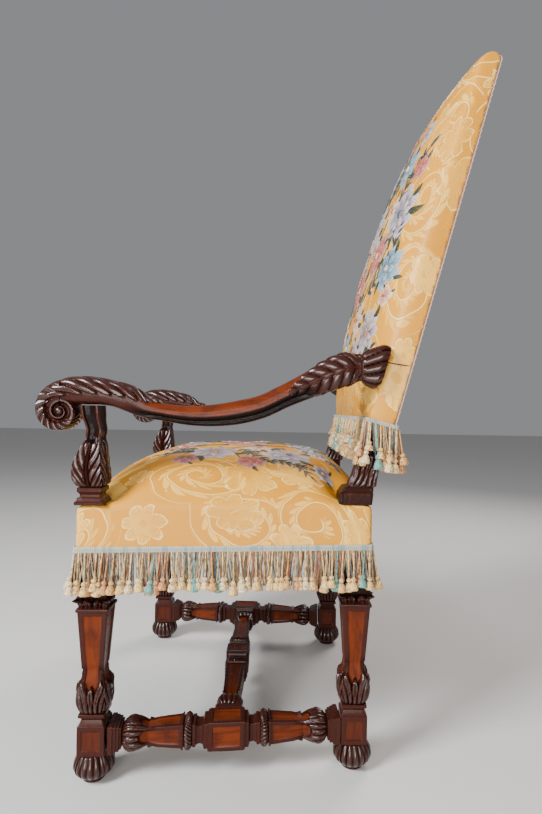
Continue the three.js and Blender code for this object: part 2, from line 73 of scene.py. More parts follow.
# Front legs: each is one square walnut post, turned and carved. It stands on a gadrooned foot, and has a
# panelled block for the stretcher's tenon, a leafy bulb, a tapered panelled shaft and a leafy capital.
foot_disc, foot, block, chamfer, ring = 7, 38, 49, 12.5, 6.5
bulb, shaft, capital, leg_neck, rail = 72, 95, 23, 71, 80
block_foot = foot_disc + foot
block_head = block_foot + block
ring_foot = block_head + chamfer
bulb_foot = ring_foot + ring
shaft_foot = bulb_foot + bulb
shaft_head = shaft_foot + shaft
capital_head = shaft_head + capital
rail_foot = capital_head + leg_neck
rail_head = rail_foot + rail
block_half = 22.5
shaft_half_ends = (17.6, 24.2)
gadroons = 18
panel_share = 0.66
crisp = 40


def smooth(low, high, value):
    share = np.clip((value - low) / (high - low), 0, 1)
    return share * share * (3 - 2 * share)


def bump(centre, width, value):
    return np.exp(-(((value - centre) / width) ** 2))


def ridges(turns, sharpness=0.5):
    """Rounded ridges with sharp furrows between them, one to each unit of turns."""
    return np.abs(np.sin(np.pi * turns)) ** sharpness


def acanthus(across, up, width):
    """Height, 0 to 1, of a carved leaf, from its distance from the midrib and its share of the length."""
    place = 2.6 * (up - 0.5 * across)
    finger = ridges((place - np.floor(place)) ** 0.75)
    spread = 0.7 + 0.3 * smooth(0, 0.35, up)
    edge = width * spread * np.clip(1 - np.clip(up, 0, 1) ** 3.2, 0, 1) ** 0.8
    edge = edge * (0.8 + 0.2 * finger)
    inside = smooth(0, 0.09, edge - across) * smooth(-0.02, 0.03, up)
    rib = 0.35 * bump(0, 0.075, across) - 0.4 * bump(0.16, 0.05, across)
    return inside * np.clip(0.42 + 0.42 * finger + rib, 0.05, 1)


def flames(across, up, lobes=2.0):
    """Height, 0 to 1, of flame-like lobes that fan out of the foot of a face and end at its corners."""
    sway = 0.42 * np.sin(2 * np.pi * up) * across * (2 - across)
    fan = lobes * across / (0.72 + 0.28 * smooth(0.0, 0.55, up)) + sway
    lobe = np.floor(fan + 0.5)
    off = 2 * (fan - lobe)
    tip = 0.66 + 0.32 * (np.minimum(lobe, lobes) / lobes) ** 1.4 - 0.26 * off**2
    round_lobe = np.clip(1 - off**2, 0, 1) ** 0.55
    vein = 0.3 * bump(0, 0.16, off) * smooth(0.1, 0.3, up)
    curl = 0.5 * bump(0.10, 0.08, tip - up)
    return smooth(0, 0.08, tip - up) * np.clip((0.95 - vein + curl) * round_lobe, 0.02, 1.25)


face_share = np.r_[np.linspace(0, 0.58, 11), 0.64, 0.68, 0.72, 0.77, 0.82, 0.88, 0.93, 0.975, 1]
face_row = np.r_[-face_share[:0:-1], face_share[:-1]]


def carved_bar(stages, step, swell, edge=lambda along: panel_share):
    """A square bar along its first axis. stages are (place, half width, squareness) from end to end, and
    swell(along, s) gives the relief in mm, its height share and its panel share on one face, where s runs
    from -1 to 1 across the face. Returns the points (row, round, xyz) and the two shares."""
    places, halves, powers = (np.array(column, float) for column in zip(*stages))
    along = [places[0]]
    for start, end in zip(places, places[1:]):
        pieces = max(1, int(np.ceil((end - start) / step)))
        along.extend(np.linspace(start, end, pieces + 1)[1:])
    along = np.array(along)[:, None]
    margin = edge(along) + 0 * along
    unit = face_row[None, :]
    inner = unit * margin / panel_share
    outer = np.sign(unit) * (1 - (1 - np.abs(unit)) * (1 - margin) / (1 - panel_share))
    s = np.where(np.abs(unit) <= panel_share, inner, outer)
    power = np.interp(along, places, powers)
    scale = np.interp(along, places, halves) * (1 + np.abs(s) ** power) ** (-1 / power)
    relief, height, panel = (value + 0 * s for value in swell(along, s))
    out = scale + relief / np.sqrt(1 + s * s)
    faces = []
    for cos, sin in ((1, 0), (0, 1), (-1, 0), (0, -1)):
        faces.append(np.stack([along + 0 * s, out * cos - s * out * sin, out * sin + s * out * cos], -1))
    return np.concatenate(faces, 1), np.tile(height, 4), np.tile(panel, 4)


def panel_cut(along, s, start, end, margin=panel_share, depth=2.0):
    """Relief of a sunk panel between two places, and its share."""
    bevel = 1.4
    lengthwise = smooth(start, start + bevel, along) * smooth(end, end - bevel, along)
    cut = lengthwise * smooth(margin + 0.03, margin - 0.02, np.abs(s))
    return -depth * cut, cut


def shaft_half(z):
    return np.interp(z, [shaft_foot, shaft_head], shaft_half_ends)


def shaft_margin(z):
    tapered = np.interp(z, [shaft_foot, shaft_head], [0.56, panel_share]) + 0 * z
    return np.where(z < bulb_foot, panel_share, tapered)


def leg_stages():
    """Places, half widths and squareness of a leg from the floor to the underside of the seat rails."""
    turned, square = 2, 14
    stages = [(0, 16.5, turned), (0.8, 18, turned), (foot_disc - 1, 18.6, turned), (foot_disc, 19, turned)]
    for t in np.linspace(0.04, 0.97, 24):
        stages.append((foot_disc + foot * t, 21 + 11.5 * np.sin(np.pi * t**0.8 * 0.93 + 0.05), turned))
    stages += [(block_foot, 21, turned), (block_foot + 0.2, block_half - 0.7, crisp)]
    stages += [(block_foot + rise, block_half, crisp) for rise in (0.8, 7.5, 9)]
    stages += [(block_head - drop, block_half, crisp) for drop in (9, 7.5, 0.8)]
    stages += [(block_head, block_half - 0.8, crisp), (block_head + 9, 17.6, square)]
    stages += [(block_head + 9.4, 16.2, square), (ring_foot, 16.2, square), (ring_foot + 0.3, 20.8, crisp)]
    stages += [(ring_foot + 1, 21.4, crisp), (bulb_foot - 1, 21.4, crisp), (bulb_foot - 0.3, 20.8, crisp)]
    stages += [(bulb_foot, 16.5, square)]
    for t in np.linspace(0.02, 1, 54):
        half = 18.4 - 0.8 * t + 8.0 * np.sin(np.pi * t**0.62) ** 1.5
        stages.append((bulb_foot + bulb * t, half, 3.2 + 8 * max(0, t - 0.45)))
    for z in (shaft_foot + 1, shaft_foot + 12, shaft_head - 7, shaft_head - 5.5, shaft_head):
        stages.append((z, shaft_half(z), crisp))
    for rise, half in ((0.4, 26), (1.2, 26.6), (4.6, 26.6), (5.4, 26)):
        stages.append((shaft_head + rise, half, crisp))
    stages += [(shaft_head + 6, 22.5, square)]
    stages += [(shaft_head + 7 + 14 * t, 21.5 + 7.5 * t**2.2, square) for t in np.linspace(0, 1, 22)]
    stages += [(capital_head - 1.4, 28.4, crisp), (capital_head - 0.7, 27.8, crisp)]
    stages += [(capital_head, 23, crisp)]
    return stages


def leg_relief(z, s):
    """Carving of a leg: gadroons, sunk panels, bulb leaves and the capital's leaves."""
    across = np.abs(s)
    corner = 1 - across
    t = (z - foot_disc) / foot
    rounded = ridges(gadroons * (np.arctan(s) + np.pi / 4) / (2 * np.pi), 0.7)
    lively = smooth(0.02, 0.2, t) * smooth(1.02, 0.93, t)
    cut, panel = panel_cut(z, s, block_foot + 7.5, block_head - 7.5)
    relief = lively * (3.2 * rounded - 2.4) + cut
    height = np.where(lively > 0.02, rounded, 0.62)
    t = (z - bulb_foot) / bulb
    leaves = flames(across, t)
    on_bulb = smooth(0.0, 0.04, t) * smooth(1.02, 0.98, t)
    bare = smooth(0.5, 0.8, t)
    relief = relief + on_bulb * ((6.4 - 2.4 * bare) * leaves - 3.0 * (1 - bare) - 0.8 * bare)
    relief = relief + 1.0 * bump(0.92, 0.05, t) * smooth(0.25, 0.08, corner)
    height = np.where(on_bulb > 0.05, np.maximum(leaves, 0.5 * bare), height)
    panel_foot = bulb_foot + 0.5 * bulb
    shaft_cut, shaft_panel = panel_cut(z, s, panel_foot, shaft_head - 5.5, shaft_margin(z), 1.8)
    open_wood = np.where(t < 1, smooth(0.12, 0.01, leaves), 1.0)
    relief = relief + shaft_cut * open_wood
    panel = np.maximum(0.5 * panel, shaft_panel * open_wood)
    t = (z - shaft_head - 6) / (capital - 7)
    small = np.maximum(acanthus(np.abs(across - 0.34) / 0.4, t, 0.8), acanthus(corner / 0.45, t, 0.85))
    on_capital = smooth(0, 0.08, t) * smooth(1.0, 0.9, t)
    curl = bump(0.78, 0.16, t) * smooth(0.45, 0.05, corner)
    curl = curl + 0.7 * bump(0.45, 0.14, t) * bump(0.34, 0.16, across)
    relief = relief + on_capital * (5.0 * small - 2.2 + 3.4 * curl)
    relief = relief - 3.2 * smooth(0.95, 1.0, t) * ridges(3 * s, 0.6)
    return relief, np.where(on_capital > 0.05, small, height), panel


def finished(piece, replaced=None):
    """Rides a piece on the chair's body and the CAD node that it replaces."""
    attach(piece, "root")
    if replaced:
        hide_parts(replaced)
    return piece


def new_piece(name, points, faces, material=None, shares=(), crease=40):
    """An object from points in mm. faces has four columns, with -1 for a triangle's fourth corner, and edges
    that turn by more than crease degrees are sharp."""
    corners = np.asarray(faces)
    sizes = (corners >= 0).sum(1)
    mesh = bpy.data.meshes.new(name)
    mesh.vertices.add(len(points))
    mesh.vertices.foreach_set("co", (np.asarray(points) * mm).ravel())
    mesh.loops.add(int(sizes.sum()))
    mesh.polygons.add(len(corners))
    mesh.loops.foreach_set("vertex_index", corners[corners >= 0])
    mesh.polygons.foreach_set("loop_start", np.r_[0, np.cumsum(sizes)[:-1]])
    mesh.polygons.foreach_set("use_smooth", np.ones(len(corners), bool))
    for layer, values in shares:
        mesh.attributes.new(layer, "FLOAT", "POINT").data.foreach_set("value", values)
    mesh.update()
    mesh.validate()
    mesh.set_sharp_from_angle(angle=math.radians(crease))
    if material:
        mesh.materials.append(material)
    piece = bpy.data.objects.new(name, mesh)
    collection.objects.link(piece)
    return piece


def shells_to_piece(name, shells, material, replaced=None):
    """One object from closed shells. A shell is points (row, round, xyz) in mm with its two shares."""
    points, faces, heights, panels = [], [], [], []
    count = 0
    for grid, height, panel in shells:
        rows, around = grid.shape[:2]
        index = count + np.arange(rows * around).reshape(rows, around)
        after = np.roll(index, -1, axis=1)
        faces.append(np.stack([index[:-1], after[:-1], after[1:], index[1:]], -1).reshape(-1, 4))
        tip = count + rows * around
        for first, second, middle in ((after[0], index[0], tip), (index[-1], after[-1], tip + 1)):
            faces.append(np.stack([first, second, np.full(around, middle), np.full(around, -1)], -1))
        points += [grid.reshape(-1, 3), grid[0].mean(0)[None], grid[-1].mean(0)[None]]
        for values, given in ((heights, height), (panels, panel)):
            values += [given.ravel(), given[0].mean(keepdims=True), given[-1].mean(keepdims=True)]
        count += rows * around + 2
    shares = (("relief", np.concatenate(heights)), ("panel", np.concatenate(panels)))
    piece = new_piece(name, np.concatenate(points), np.concatenate(faces), material, shares)
    return finished(piece, replaced)


class Socket:
    """A shader value. An expression on it adds Math nodes."""

    def __init__(self, finish, socket):
        self.finish = finish
        self.socket = socket

    def math(self, operation, *values):
        return self.finish.node("ShaderNodeMath", {"operation": operation}, dict(enumerate(values)))

    def __add__(self, other):
        return self.math("ADD", self, other)

    def __sub__(self, other):
        return self.math("SUBTRACT", self, other)

    def __rsub__(self, other):
        return self.math("SUBTRACT", other, self)

    def __mul__(self, other):
        return self.math("MULTIPLY", self, other)

    def __truediv__(self, other):
        return self.math("DIVIDE", self, other)

    def __pow__(self, other):
        return self.math("POWER", self, other)

    def larger(self, other):
        return self.math("MAXIMUM", self, other)

    def beside(self, output):
        """Another output of the same node."""
        return Socket(self.finish, self.socket.node.outputs[output])

    __radd__ = __add__
    __rmul__ = __mul__


class Finish:
    """A material built round one Principled shader, whose constant values are given by name."""

    def __init__(self, name, **constants):
        self.material = bpy.data.materials.new(name)
        self.material.use_nodes = True
        self.tree = self.material.node_tree
        self.shader = self.tree.nodes["Principled BSDF"]
        for socket, value in constants.items():
            self.shader.inputs[socket.replace("_", " ")].default_value = value

    def feed(self, socket, value):
        if isinstance(value, Socket):
            self.tree.links.new(value.socket, socket)
        else:
            socket.default_value = value

    def node(self, kind, settings=None, values=None, output=0):
        made = self.tree.nodes.new(kind)
        for key, value in (settings or {}).items():
            setattr(made, key, value)
        for key, value in (values or {}).items():
            self.feed(made.inputs[key], value)
        return Socket(self, made.outputs[output])

    def ramp(self, value, stops, interpolation="LINEAR"):
        made = self.node("ShaderNodeValToRGB", values={0: value})
        colours = made.socket.node.color_ramp
        colours.interpolation = interpolation
        while len(colours.elements) < len(stops):
            colours.elements.new(1)
        for element, (place, colour) in zip(colours.elements, stops):
            element.position = place
            element.color = (*colour, 1)
        return made

    def attribute(self, name, output="Fac"):
        return self.node("ShaderNodeAttribute", {"attribute_name": name}, output=output)

    def vector(self, operation, first, second):
        return self.node("ShaderNodeVectorMath", {"operation": operation}, {0: first, 1: second})

    def mix(self, share, first, second):
        colours = [(*c, 1) if isinstance(c, tuple) else c for c in (first, second)]
        values = {0: share, 6: colours[0], 7: colours[1]}
        return self.node("ShaderNodeMix", {"data_type": "RGBA"}, values, 2)

    def noise(self, vector, scale, detail=3, distortion=0.0, output=0):
        values = {"Vector": vector, "Scale": scale, "Detail": detail, "Distortion": distortion}
        return self.node("ShaderNodeTexNoise", None, values, output)

    def stretched(self, scale):
        place = self.node("ShaderNodeTexCoord", output="Object")
        return self.node("ShaderNodeMapping", None, {"Vector": place, "Scale": scale})

    def step(self, value, low, high):
        values = {"Value": value, "From Min": low, "From Max": high}
        return self.node("ShaderNodeMapRange", {"interpolation_type": "SMOOTHSTEP"}, values)

    def surface(self, colour, roughness, height=None, strength=0.3, distance=0.001):
        self.feed(self.shader.inputs["Base Color"], colour)
        self.feed(self.shader.inputs["Roughness"], roughness)
        if height is not None:
            values = {"Height": height, "Strength": strength, "Distance": distance}
            self.feed(self.shader.inputs["Normal"], self.node("ShaderNodeBump", None, values))
        return self.material


# Walnut colours. The recess and dark stops are painted shade: the carving's ramp darkens its hollows by their
# relief share. walnut_dark also darkens the pores.
walnut_recess_shade = (0.0018, 0.0008, 0.0007)
walnut_dark = (0.0090, 0.0028, 0.0020)
walnut_plain = (0.040, 0.0084, 0.0046)
walnut_crest = (0.031, 0.0080, 0.0050)
walnut_panel = (0.132, 0.0225, 0.0050)
walnut_panel_streak = (0.036, 0.0085, 0.0046)


def old_walnut(name, grain):
    """Waxed old walnut, with shade painted into its carving from the relief share. grain is the scale of its
    figure, smallest along the wood's length.
    """
    finish = Finish(name, Coat_Roughness=0.22, Coat_IOR=1.5, Specular_IOR_Level=0.10)
    along = finish.stretched(grain)
    figure = finish.noise(along, 1, 5, 1.2)
    pores = finish.noise(along, 9, 2)
    relief = finish.attribute("relief")
    panel = finish.attribute("panel")
    # Painted shade: the colour runs from the crest colour down to near black in the recesses as the relief
    # share falls.
    stops = [(0.0, walnut_recess_shade), (0.35, walnut_dark), (0.62, walnut_plain), (1.0, walnut_crest)]
    carved = finish.ramp(relief + 0.22 * figure - 0.11, stops)
    carved = finish.mix(finish.step(pores, 0.45, 0.8) * 0.4, carved, walnut_dark)
    streaks = finish.step(figure + 0.25 * pores, 0.50, 0.90)
    bare = finish.mix(streaks * 0.85, walnut_panel, walnut_panel_streak)
    worn = finish.noise(finish.stretched((38, 38, 22)), 1, 3)
    bare = finish.mix(finish.step(worn, 0.48, 0.72) * 0.6, bare, walnut_plain)
    colour = finish.mix(finish.step(panel, 0.15, 0.95), carved, bare)
    hand = finish.noise(finish.stretched((190, 190, 190)), 1, 2)
    polish = finish.step(relief, 0.50, 0.95) * 0.85 * (1 - panel) + 0.03
    finish.feed(finish.shader.inputs["Coat Weight"], polish)
    roughness = 0.20 + 0.22 * pores - 0.05 * relief
    return finish.surface(colour, roughness, 0.3 * pores + 0.2 * figure + hand, 0.40, 0.0012)


walnut_upright = old_walnut("walnut_upright", (70, 70, 9))


def leg_place(node):
    low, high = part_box(node)
    return np.array([low.x + high.x, low.y + high.y, 0]) / 2 / mm


def upright(shell, place):
    """A bar's shell, whose first axis ran along it, stood up in its place on the chair."""
    grid, height, panel = shell
    return grid[..., [1, 2, 0]] + place, height, panel


sides = (("left", 1), ("right", -1))
leg_shell = carved_bar(leg_stages(), 12, leg_relief, shaft_margin)
tenon_stages = [(capital_head - 1, 22.3, crisp), (rail_foot - 0.5, 22.3, crisp)]
tenon_stages += [(rail_foot, 19, crisp), (rail_head, 19, crisp)]
tenon_shell = carved_bar(tenon_stages, 40, lambda along, s: (0 * s, 0.4 + 0 * s, 0 * s))
for side, sign in sides:
    node = f"front_leg_{side}"
    shells = [upright(shell, leg_place(node)) for shell in (leg_shell, tenon_shell)]
    shells_to_piece(f"carved_front_leg_{side}", shells, walnut_upright, replaced=node)

# Rear posts: each rear leg is the same carved square post, carried on above the seat. It has a plain
# block at the seat's corner, then a leafy neck, then a plain stile that rakes back inside the upholstery.
back_rake = math.radians(15.3)
rake_start = rail_head + 8
post_block_head = rail_head + 29
post_depth = 25
stile_half, stile_depth = 18, 12.5
hidden_half = stile_half - 5
back_foot_height, back_length = 580, 686
neck_foot, neck_end, neck_head = post_block_head + 1, back_foot_height - 18, back_foot_height - 6
stile_head = back_foot_height + (back_length - 60) * math.cos(back_rake)


def post_relief(z, s):
    t = (z - neck_foot) / (neck_end - neck_foot)
    inside = smooth(0, 0.05, t) * smooth(1.0, 0.94, t)
    leaf = flames(np.abs(s), 0.85 * t, 1.5)
    sunk, panel = panel_cut(z, s, rail_head + 5, post_block_head - 5, 0.78, 0.5)
    return inside * (6.0 * leaf - 3.6) + sunk, np.where(inside > 0.05, leaf, 0.45), 0.35 * panel


post_stages = [(rail_head - 0.7, 20, crisp)]
for height, shy in (
    (rail_head - 0.6, 0.8),
    (rail_head, 0),
    (rail_head + 19, 0),
    (rail_head + 20, 1.2),
    (rail_head + 21, 0.4),
    (post_block_head - 1, 0.4),
    (post_block_head, 1.2),
):
    post_stages.append((height, block_half - shy, crisp))
post_stages += [(post_block_head + 0.4, block_half - 2.6, 20), (post_block_head + 1.4, block_half - 2.8, 12)]
for t in np.linspace(0, 1, 50):
    post_stages.append((post_block_head + 2 + t * (neck_end - post_block_head - 2), 20.5 - 1.9 * t, 5))
post_stages += [(neck_end + 1, stile_half, 20), (neck_head + 4, stile_half, crisp)]
post_stages += [(neck_head + 40, hidden_half, crisp), (stile_head - 4, hidden_half, crisp)]
post_stages += [(stile_head, hidden_half - 2, crisp)]


def leaning(shell):
    """Sets an upright bar's upper part back on its rake, and thins it to the depth of block and stile."""
    grid, height, panel = shell
    z, wide, deep = grid[..., 0], grid[..., 1], grid[..., 2]
    corners = [rail_head, post_block_head, post_block_head + 9]
    slope = math.tan(back_rake)
    low_back = np.interp(z, corners, [0, 2.9, (corners[2] - rake_start) * slope])
    back = np.where(z < corners[2], low_back, (z - rake_start) * slope)
    back += np.interp(z, [rail_head + 19, post_block_head, neck_foot, neck_head], [-4, -1, 4, 0])
    places = [rail_head + 19, post_block_head, post_block_head + 11, neck_end, neck_head]
    depths = [(post_depth + 4) / block_half, 1.14, 1.02, 0.9, stile_depth / stile_half]
    lean = deep * np.interp(z, places, depths)
    tilt = np.interp(z, corners, [0, 0, back_rake])
    return np.stack([z - lean * np.sin(tilt), wide, lean * np.cos(tilt) + back], -1), height, panel


def post_place(side):
    """The middle of a rear post's foot: over the post's width, and in line with the rear rail."""
    return np.array([leg_place(f"rear_post_{side}")[0], leg_place("seat_rail_rear")[1], 0])


post_shell = leaning(carved_bar(post_stages, 60, post_relief))
for side, sign in sides:
    shells = [upright(shell, post_place(side)) for shell in (leg_shell, tenon_shell, post_shell)]
    shells_to_piece(f"carved_rear_post_{side}", shells, walnut_upright, replaced=f"rear_post_{side}")

# Stretchers: an H of turned square bars between the blocks of the legs. Each has a panelled block in the
# middle, and on either side a ribbed collar, a tapered panelled shaft, a leafy bulb and stepped end plates.
stretcher_height = block_foot + block / 2
stretcher_half = 24
side_block, cross_block = 62, 40
fit_gap = 0.3


def stretcher_shell(start, stop, block_length):
    """A stretcher's shell between two points of the plan at the stretchers' height."""
    length = np.linalg.norm(stop - start)
    end, half = length / 2, block_length / 2
    collar, bulb_end = half + 25, end - 62
    profile = [(0, stretcher_half), (half - 9, stretcher_half), (half - 7.5, stretcher_half)]
    profile += [(half - 2.2, stretcher_half), (half - 1.8, stretcher_half - 0.9)]
    profile += [(half, stretcher_half - 0.9)]
    rises = ((0.4, 20.6), (6, 20.6), (7, 18), (9, 15), (15, 14.6), (19, 16.2), (20, 18.4), (25, 18.4))
    profile += [(half + rise, wide) for rise, wide in rises]
    side = [(place, wide, crisp) for place, wide in profile] + [(collar + 0.5, 17, 20)]
    for t in np.linspace(0.05, 0.95, 14):
        side.append((collar + 0.5 + 14 * t, 18 + 5.2 * math.sin(math.pi * t) ** 0.7, 5))
    rises = ((15, 17.5), (15.3, 21), (18, 21), (18.5, 19.2))
    side += [(collar + rise, wide, crisp) for rise, wide in rises] + [(bulb_end - 2, 15.6, crisp)]
    for t in np.linspace(0.03, 1, 30):
        side.append((bulb_end - 2 + 42 * t, 14.6 + 7.6 * math.sin(math.pi * t**1.45) ** 0.8, 4))
    drops = [(21, 17.5), (18, 17.5), (17.6, 20), (13, 20), (12.6, 21.5), (8, 21.5), (7.6, 23)]
    drops += [(0.8, 23), (0, 22.3)]
    side += [(end - 21.5, 14, 20)] + [(end - drop, wide, crisp) for drop, wide in drops]

    def relief(along, s):
        x, across = np.abs(along), np.abs(s)
        total, panel = panel_cut(x, s, -20, half - 7.5, 0.7, 1.8)
        t = (x - collar - 0.5) / 14
        on_collar = smooth(0, 0.1, t) * smooth(1, 0.9, t)
        ribs = ridges(3.5 * s + 1.3 * t, 0.6)
        total = total + on_collar * (3.4 * ribs - 2.2)
        height = np.where(on_collar > 0.05, ribs, 0.62)
        t = (end - 22 - x) / 50
        melon = ridges(0.5 + 2.5 * s * (0.95 - 0.1 * t), 0.6)
        chevron = 0.6 + 0.4 * ridges(2.4 * t - 1.2 * across)
        leaf = smooth(0, 0.08, 0.58 + 0.42 * across**2.2 - t) * np.clip(0.1 + 0.9 * melon * chevron, 0, 1)
        on_bulb = smooth(0, 0.05, t) * smooth(1.03, 0.97, t)
        total = total + on_bulb * (4.2 * leaf - 1.9)
        total = total + 2.2 * on_bulb * bump(0.92, 0.06, t) * smooth(0.3, 0.05, 1 - across)
        height = np.where(on_bulb > 0.05, np.maximum(leaf, 0.5 * smooth(0.6, 0.8, t)), height)
        shaft_cut, shaft_panel = panel_cut(x, s, collar + 21, end - 49.5, panel_share, 1.5)
        open_wood = np.where(on_bulb > 0.05, smooth(0.2, 0.02, leaf), 1.0)
        return total + shaft_cut * open_wood, height, np.maximum(panel, shaft_panel * open_wood)

    stages = [(-place, wide, power) for place, wide, power in reversed(side[1:])] + side
    grid, height, panel = carved_bar(stages, 9, relief)
    run = np.append((stop - start) / length, 0)
    axes = np.stack([run, (-run[1], run[0], 0), (0, 0, 1)])
    return grid @ axes + np.append((start + stop) / 2, stretcher_height), height, panel


walnut_lengthwise = old_walnut("walnut_lengthwise", (70, 9, 70))
walnut_crosswise = old_walnut("walnut_crosswise", (9, 70, 70))
for side, sign in sides:
    front, rear = leg_place(f"front_leg_{side}")[:2], post_place(side)[:2]
    reach = (block_half + fit_gap + 2) * (rear - front) / np.linalg.norm(rear - front)
    shell = stretcher_shell(front + reach, rear - reach, side_block)
    name = f"side_stretcher_{side}"
    shells_to_piece(f"carved_{name}", [shell], walnut_lengthwise, replaced=name)
low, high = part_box("cross_stretcher")
middle = leg_place("cross_stretcher")[:2]
shell = stretcher_shell(middle + (low.x / mm, 0), middle + (high.x / mm, 0), cross_block)
shells_to_piece("carved_cross_stretcher", [shell], walnut_crosswise, replaced="cross_stretcher")

# Seat rails: plain beech rails tenoned between the legs, hidden by the stuffing and seen only from below.
# Two more of the same beech join the stiles inside the back.
beech_light = (0.36, 0.21, 0.105)
beech_dark = (0.20, 0.105, 0.048)


def plain_beech(name, grain):
    finish = Finish(name, Specular_IOR_Level=0.35)
    figure = finish.noise(finish.stretched(grain), 1, 5, 0.8)
    colour = finish.mix(finish.step(figure, 0.35, 0.7), beech_light, beech_dark)
    return finish.surface(colour, 0.55 + 0.25 * figure, figure, 0.3, 0.0005)


beech_crosswise = plain_beech("beech_crosswise", (8, 90, 90))
beech_lengthwise = plain_beech("beech_lengthwise", (90, 8, 90))
for node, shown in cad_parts.items():
    if "_rail_" in node:
        for material_slot in shown.material_slots:
            runs_back = node.endswith(("_left", "_right"))
            material_slot.material = beech_lengthwise if runs_back else beech_crosswise

# Arm supports: carved walnut balusters. Each stands on a square plate on the seat's front corner, swells
# into a leafy bulb with a palmette on each face, and narrows to a hollow-faced shaft that curves forward.
support_foot = rail_head + fit_gap
support_height = 152
support_head = support_foot + support_height
support_out, support_forward = 6.5, 7
plate_half = 23.5
plate_rise, bulb_rise = 28, 82


def support_relief(z, s):
    t = (z - support_foot - plate_rise) / (support_height * 0.70 - plate_rise)
    across = np.abs(s)
    on_bulb = smooth(0, 0.05, t) * smooth(1.12, 0.98, t)
    fan = across * (1.15 - 0.45 * smooth(0, 0.6, t))
    frond = 3.4 * t - 2.6 * fan**1.2 + 0.1
    frond = ridges((frond - np.floor(frond)) ** 0.7, 0.6)
    rib = bump(0, 0.10, across) * smooth(1.0, 0.8, t)
    edge = smooth(-0.02, 0.1, 1.08 - t - 0.25 * fan**2)
    leaf = edge * np.clip(0.12 + 0.88 * frond, 0, 1) * smooth(0.1, 0.2, across) + rib
    pierced = smooth(0.72, 0.86, across) * smooth(0.55, 0.2, frond) * on_bulb
    fade = 1 - 0.7 * smooth(0.45, 1.0, t)
    relief = on_bulb * fade * (6.2 * leaf - 3.4) - 2.6 * pierced * fade
    relief = relief + 2.0 * bump(0.93, 0.07, t) * smooth(0.3, 0.0, across)
    # Painted shade: the deep cuts between the fronds get a lower relief share, so the ramp paints them
    # darker.
    height = np.where(on_bulb > 0.05, np.clip(leaf - 0.6 * pierced, 0, 1), 0.62)
    above = smooth(0.9, 1.02, t + 0.1 * across)
    relief = relief - 2.6 * smooth(0.74, 0.60, across) * above * (1 - 0.4 * across)
    # Painted shade in the shaft's hollow faces, from a low relief share.
    height = np.where(above > 0.5, 0.22 + 0.45 * smooth(0.62, 0.8, across), height)
    return relief, height, 0.3 * above * smooth(0.62, 0.72, across)


plate_profile = [(0.1, 22.7), (0.9, plate_half), (4.6, plate_half), (5.2, 22.4), (10.4, 20.6), (11, 20)]
plate_profile += [(12, 17.6), (15, 16.2), (17.4, 16.6), (20.4, 19.2), (21, 20), (27, 20), (27.8, 19.2)]
support_stages = [(rise, half, crisp) for rise, half in plate_profile] + [(plate_rise + 0.4, 17, 12)]
for t in np.linspace(0, 1, 62)[1:]:
    half = 16.8 + 9.0 * np.sin(np.pi * t**0.52) ** 1.1 - 4.4 * t
    support_stages.append((plate_rise + 0.4 + bulb_rise * t, half, 5 + 10 * t))
for share, half in ((0.75, 12.4), (0.8, 12.0), (0.88, 12.6), (0.95, 14)):
    support_stages.append((support_height * share, half, 30))
support_stages.append((support_height + 9, 14.6, 30))
support_stages = [(support_foot + rise, half, power) for rise, half, power in support_stages]
support_shell = carved_bar(support_stages, 6, support_relief)
wide_rises, wide_scales = support_foot + np.array([60, 100, 141]), [1, 1.35, 1.5]
curve_rises = support_foot + np.array([0, 28, 48, 64, 84, 106, 122, 141, 166])
curve_back = [0, 0, -3, -4, -1, 3, 5, 0, -3]


def support_place(side, sign):
    return leg_place(f"front_leg_{side}") + (sign * support_out, -support_forward, 0)


for side, sign in sides:
    grid, height, panel = upright(support_shell, (0, 0, 0))
    grid[..., 0] *= np.interp(grid[..., 2], wide_rises, wide_scales)
    grid = grid + support_place(side, sign)
    grid[..., 1] += np.interp(grid[..., 2], curve_rises, curve_back)
    node = f"arm_support_{side}"
    shells_to_piece(f"carved_{node}", [(grid, height, panel)], walnut_upright, replaced=node)

# Arms: each is one length of walnut. Its front end is a scroll with an acanthus leaf over it, its middle
# is a hollowed and polished grip, and a second leaf runs back to a ribbed knob against the upholstery.
scroll_radius, scroll_half, eye_radius = 47, 21.5, 5.5
scroll_ahead = 49
arm_run = 532.3
arm_end_x = 268.0
winding_share = 0.8

# Columns: share of the run, rise of the middle, half thickness and half width, in mm.
arm_spine = np.array(
    [
        (-0.045, 14, 14, 17),
        (-0.02, 24, 18, 19),
        (0.01, 29.5, 20, 20.5),
        (0.069, 32.5, 21, 23),
        (0.15, 28, 19, 23),
        (0.2, 20, 19.5, 21),
        (0.243, 8, 16, 19),
        (0.304, 1, 14, 18),
        (0.386, -4, 15.7, 18),
        (0.463, -3, 18, 18.5),
        (0.54, 3, 19.5, 19),
        (0.61, 13, 19, 19),
        (0.68, 31, 19, 19),
        (0.755, 50, 21.5, 20),
        (0.83, 70, 25.5, 22),
        (0.886, 79.5, 26, 22),
        (0.918, 81.5, 21, 18),
        (0.935, 82, 27, 21),
        (0.962, 83, 34, 24),
        (0.985, 84, 37.5, 25.5),
        (1.0, 84.5, 33, 23),
    ]
)
grip_across = np.array([0, 0.4, 0.7, 0.93, 1, 1, 0.95, 0.74, 0.60, 0.66, 0.55, 0.64, 0.5, 0])
grip_up = np.array([1, 0.96, 0.83, 0.55, 0.2, -0.22, -0.34, -0.42, -0.56, -0.84, -0.74, -0.95, -1, -1])


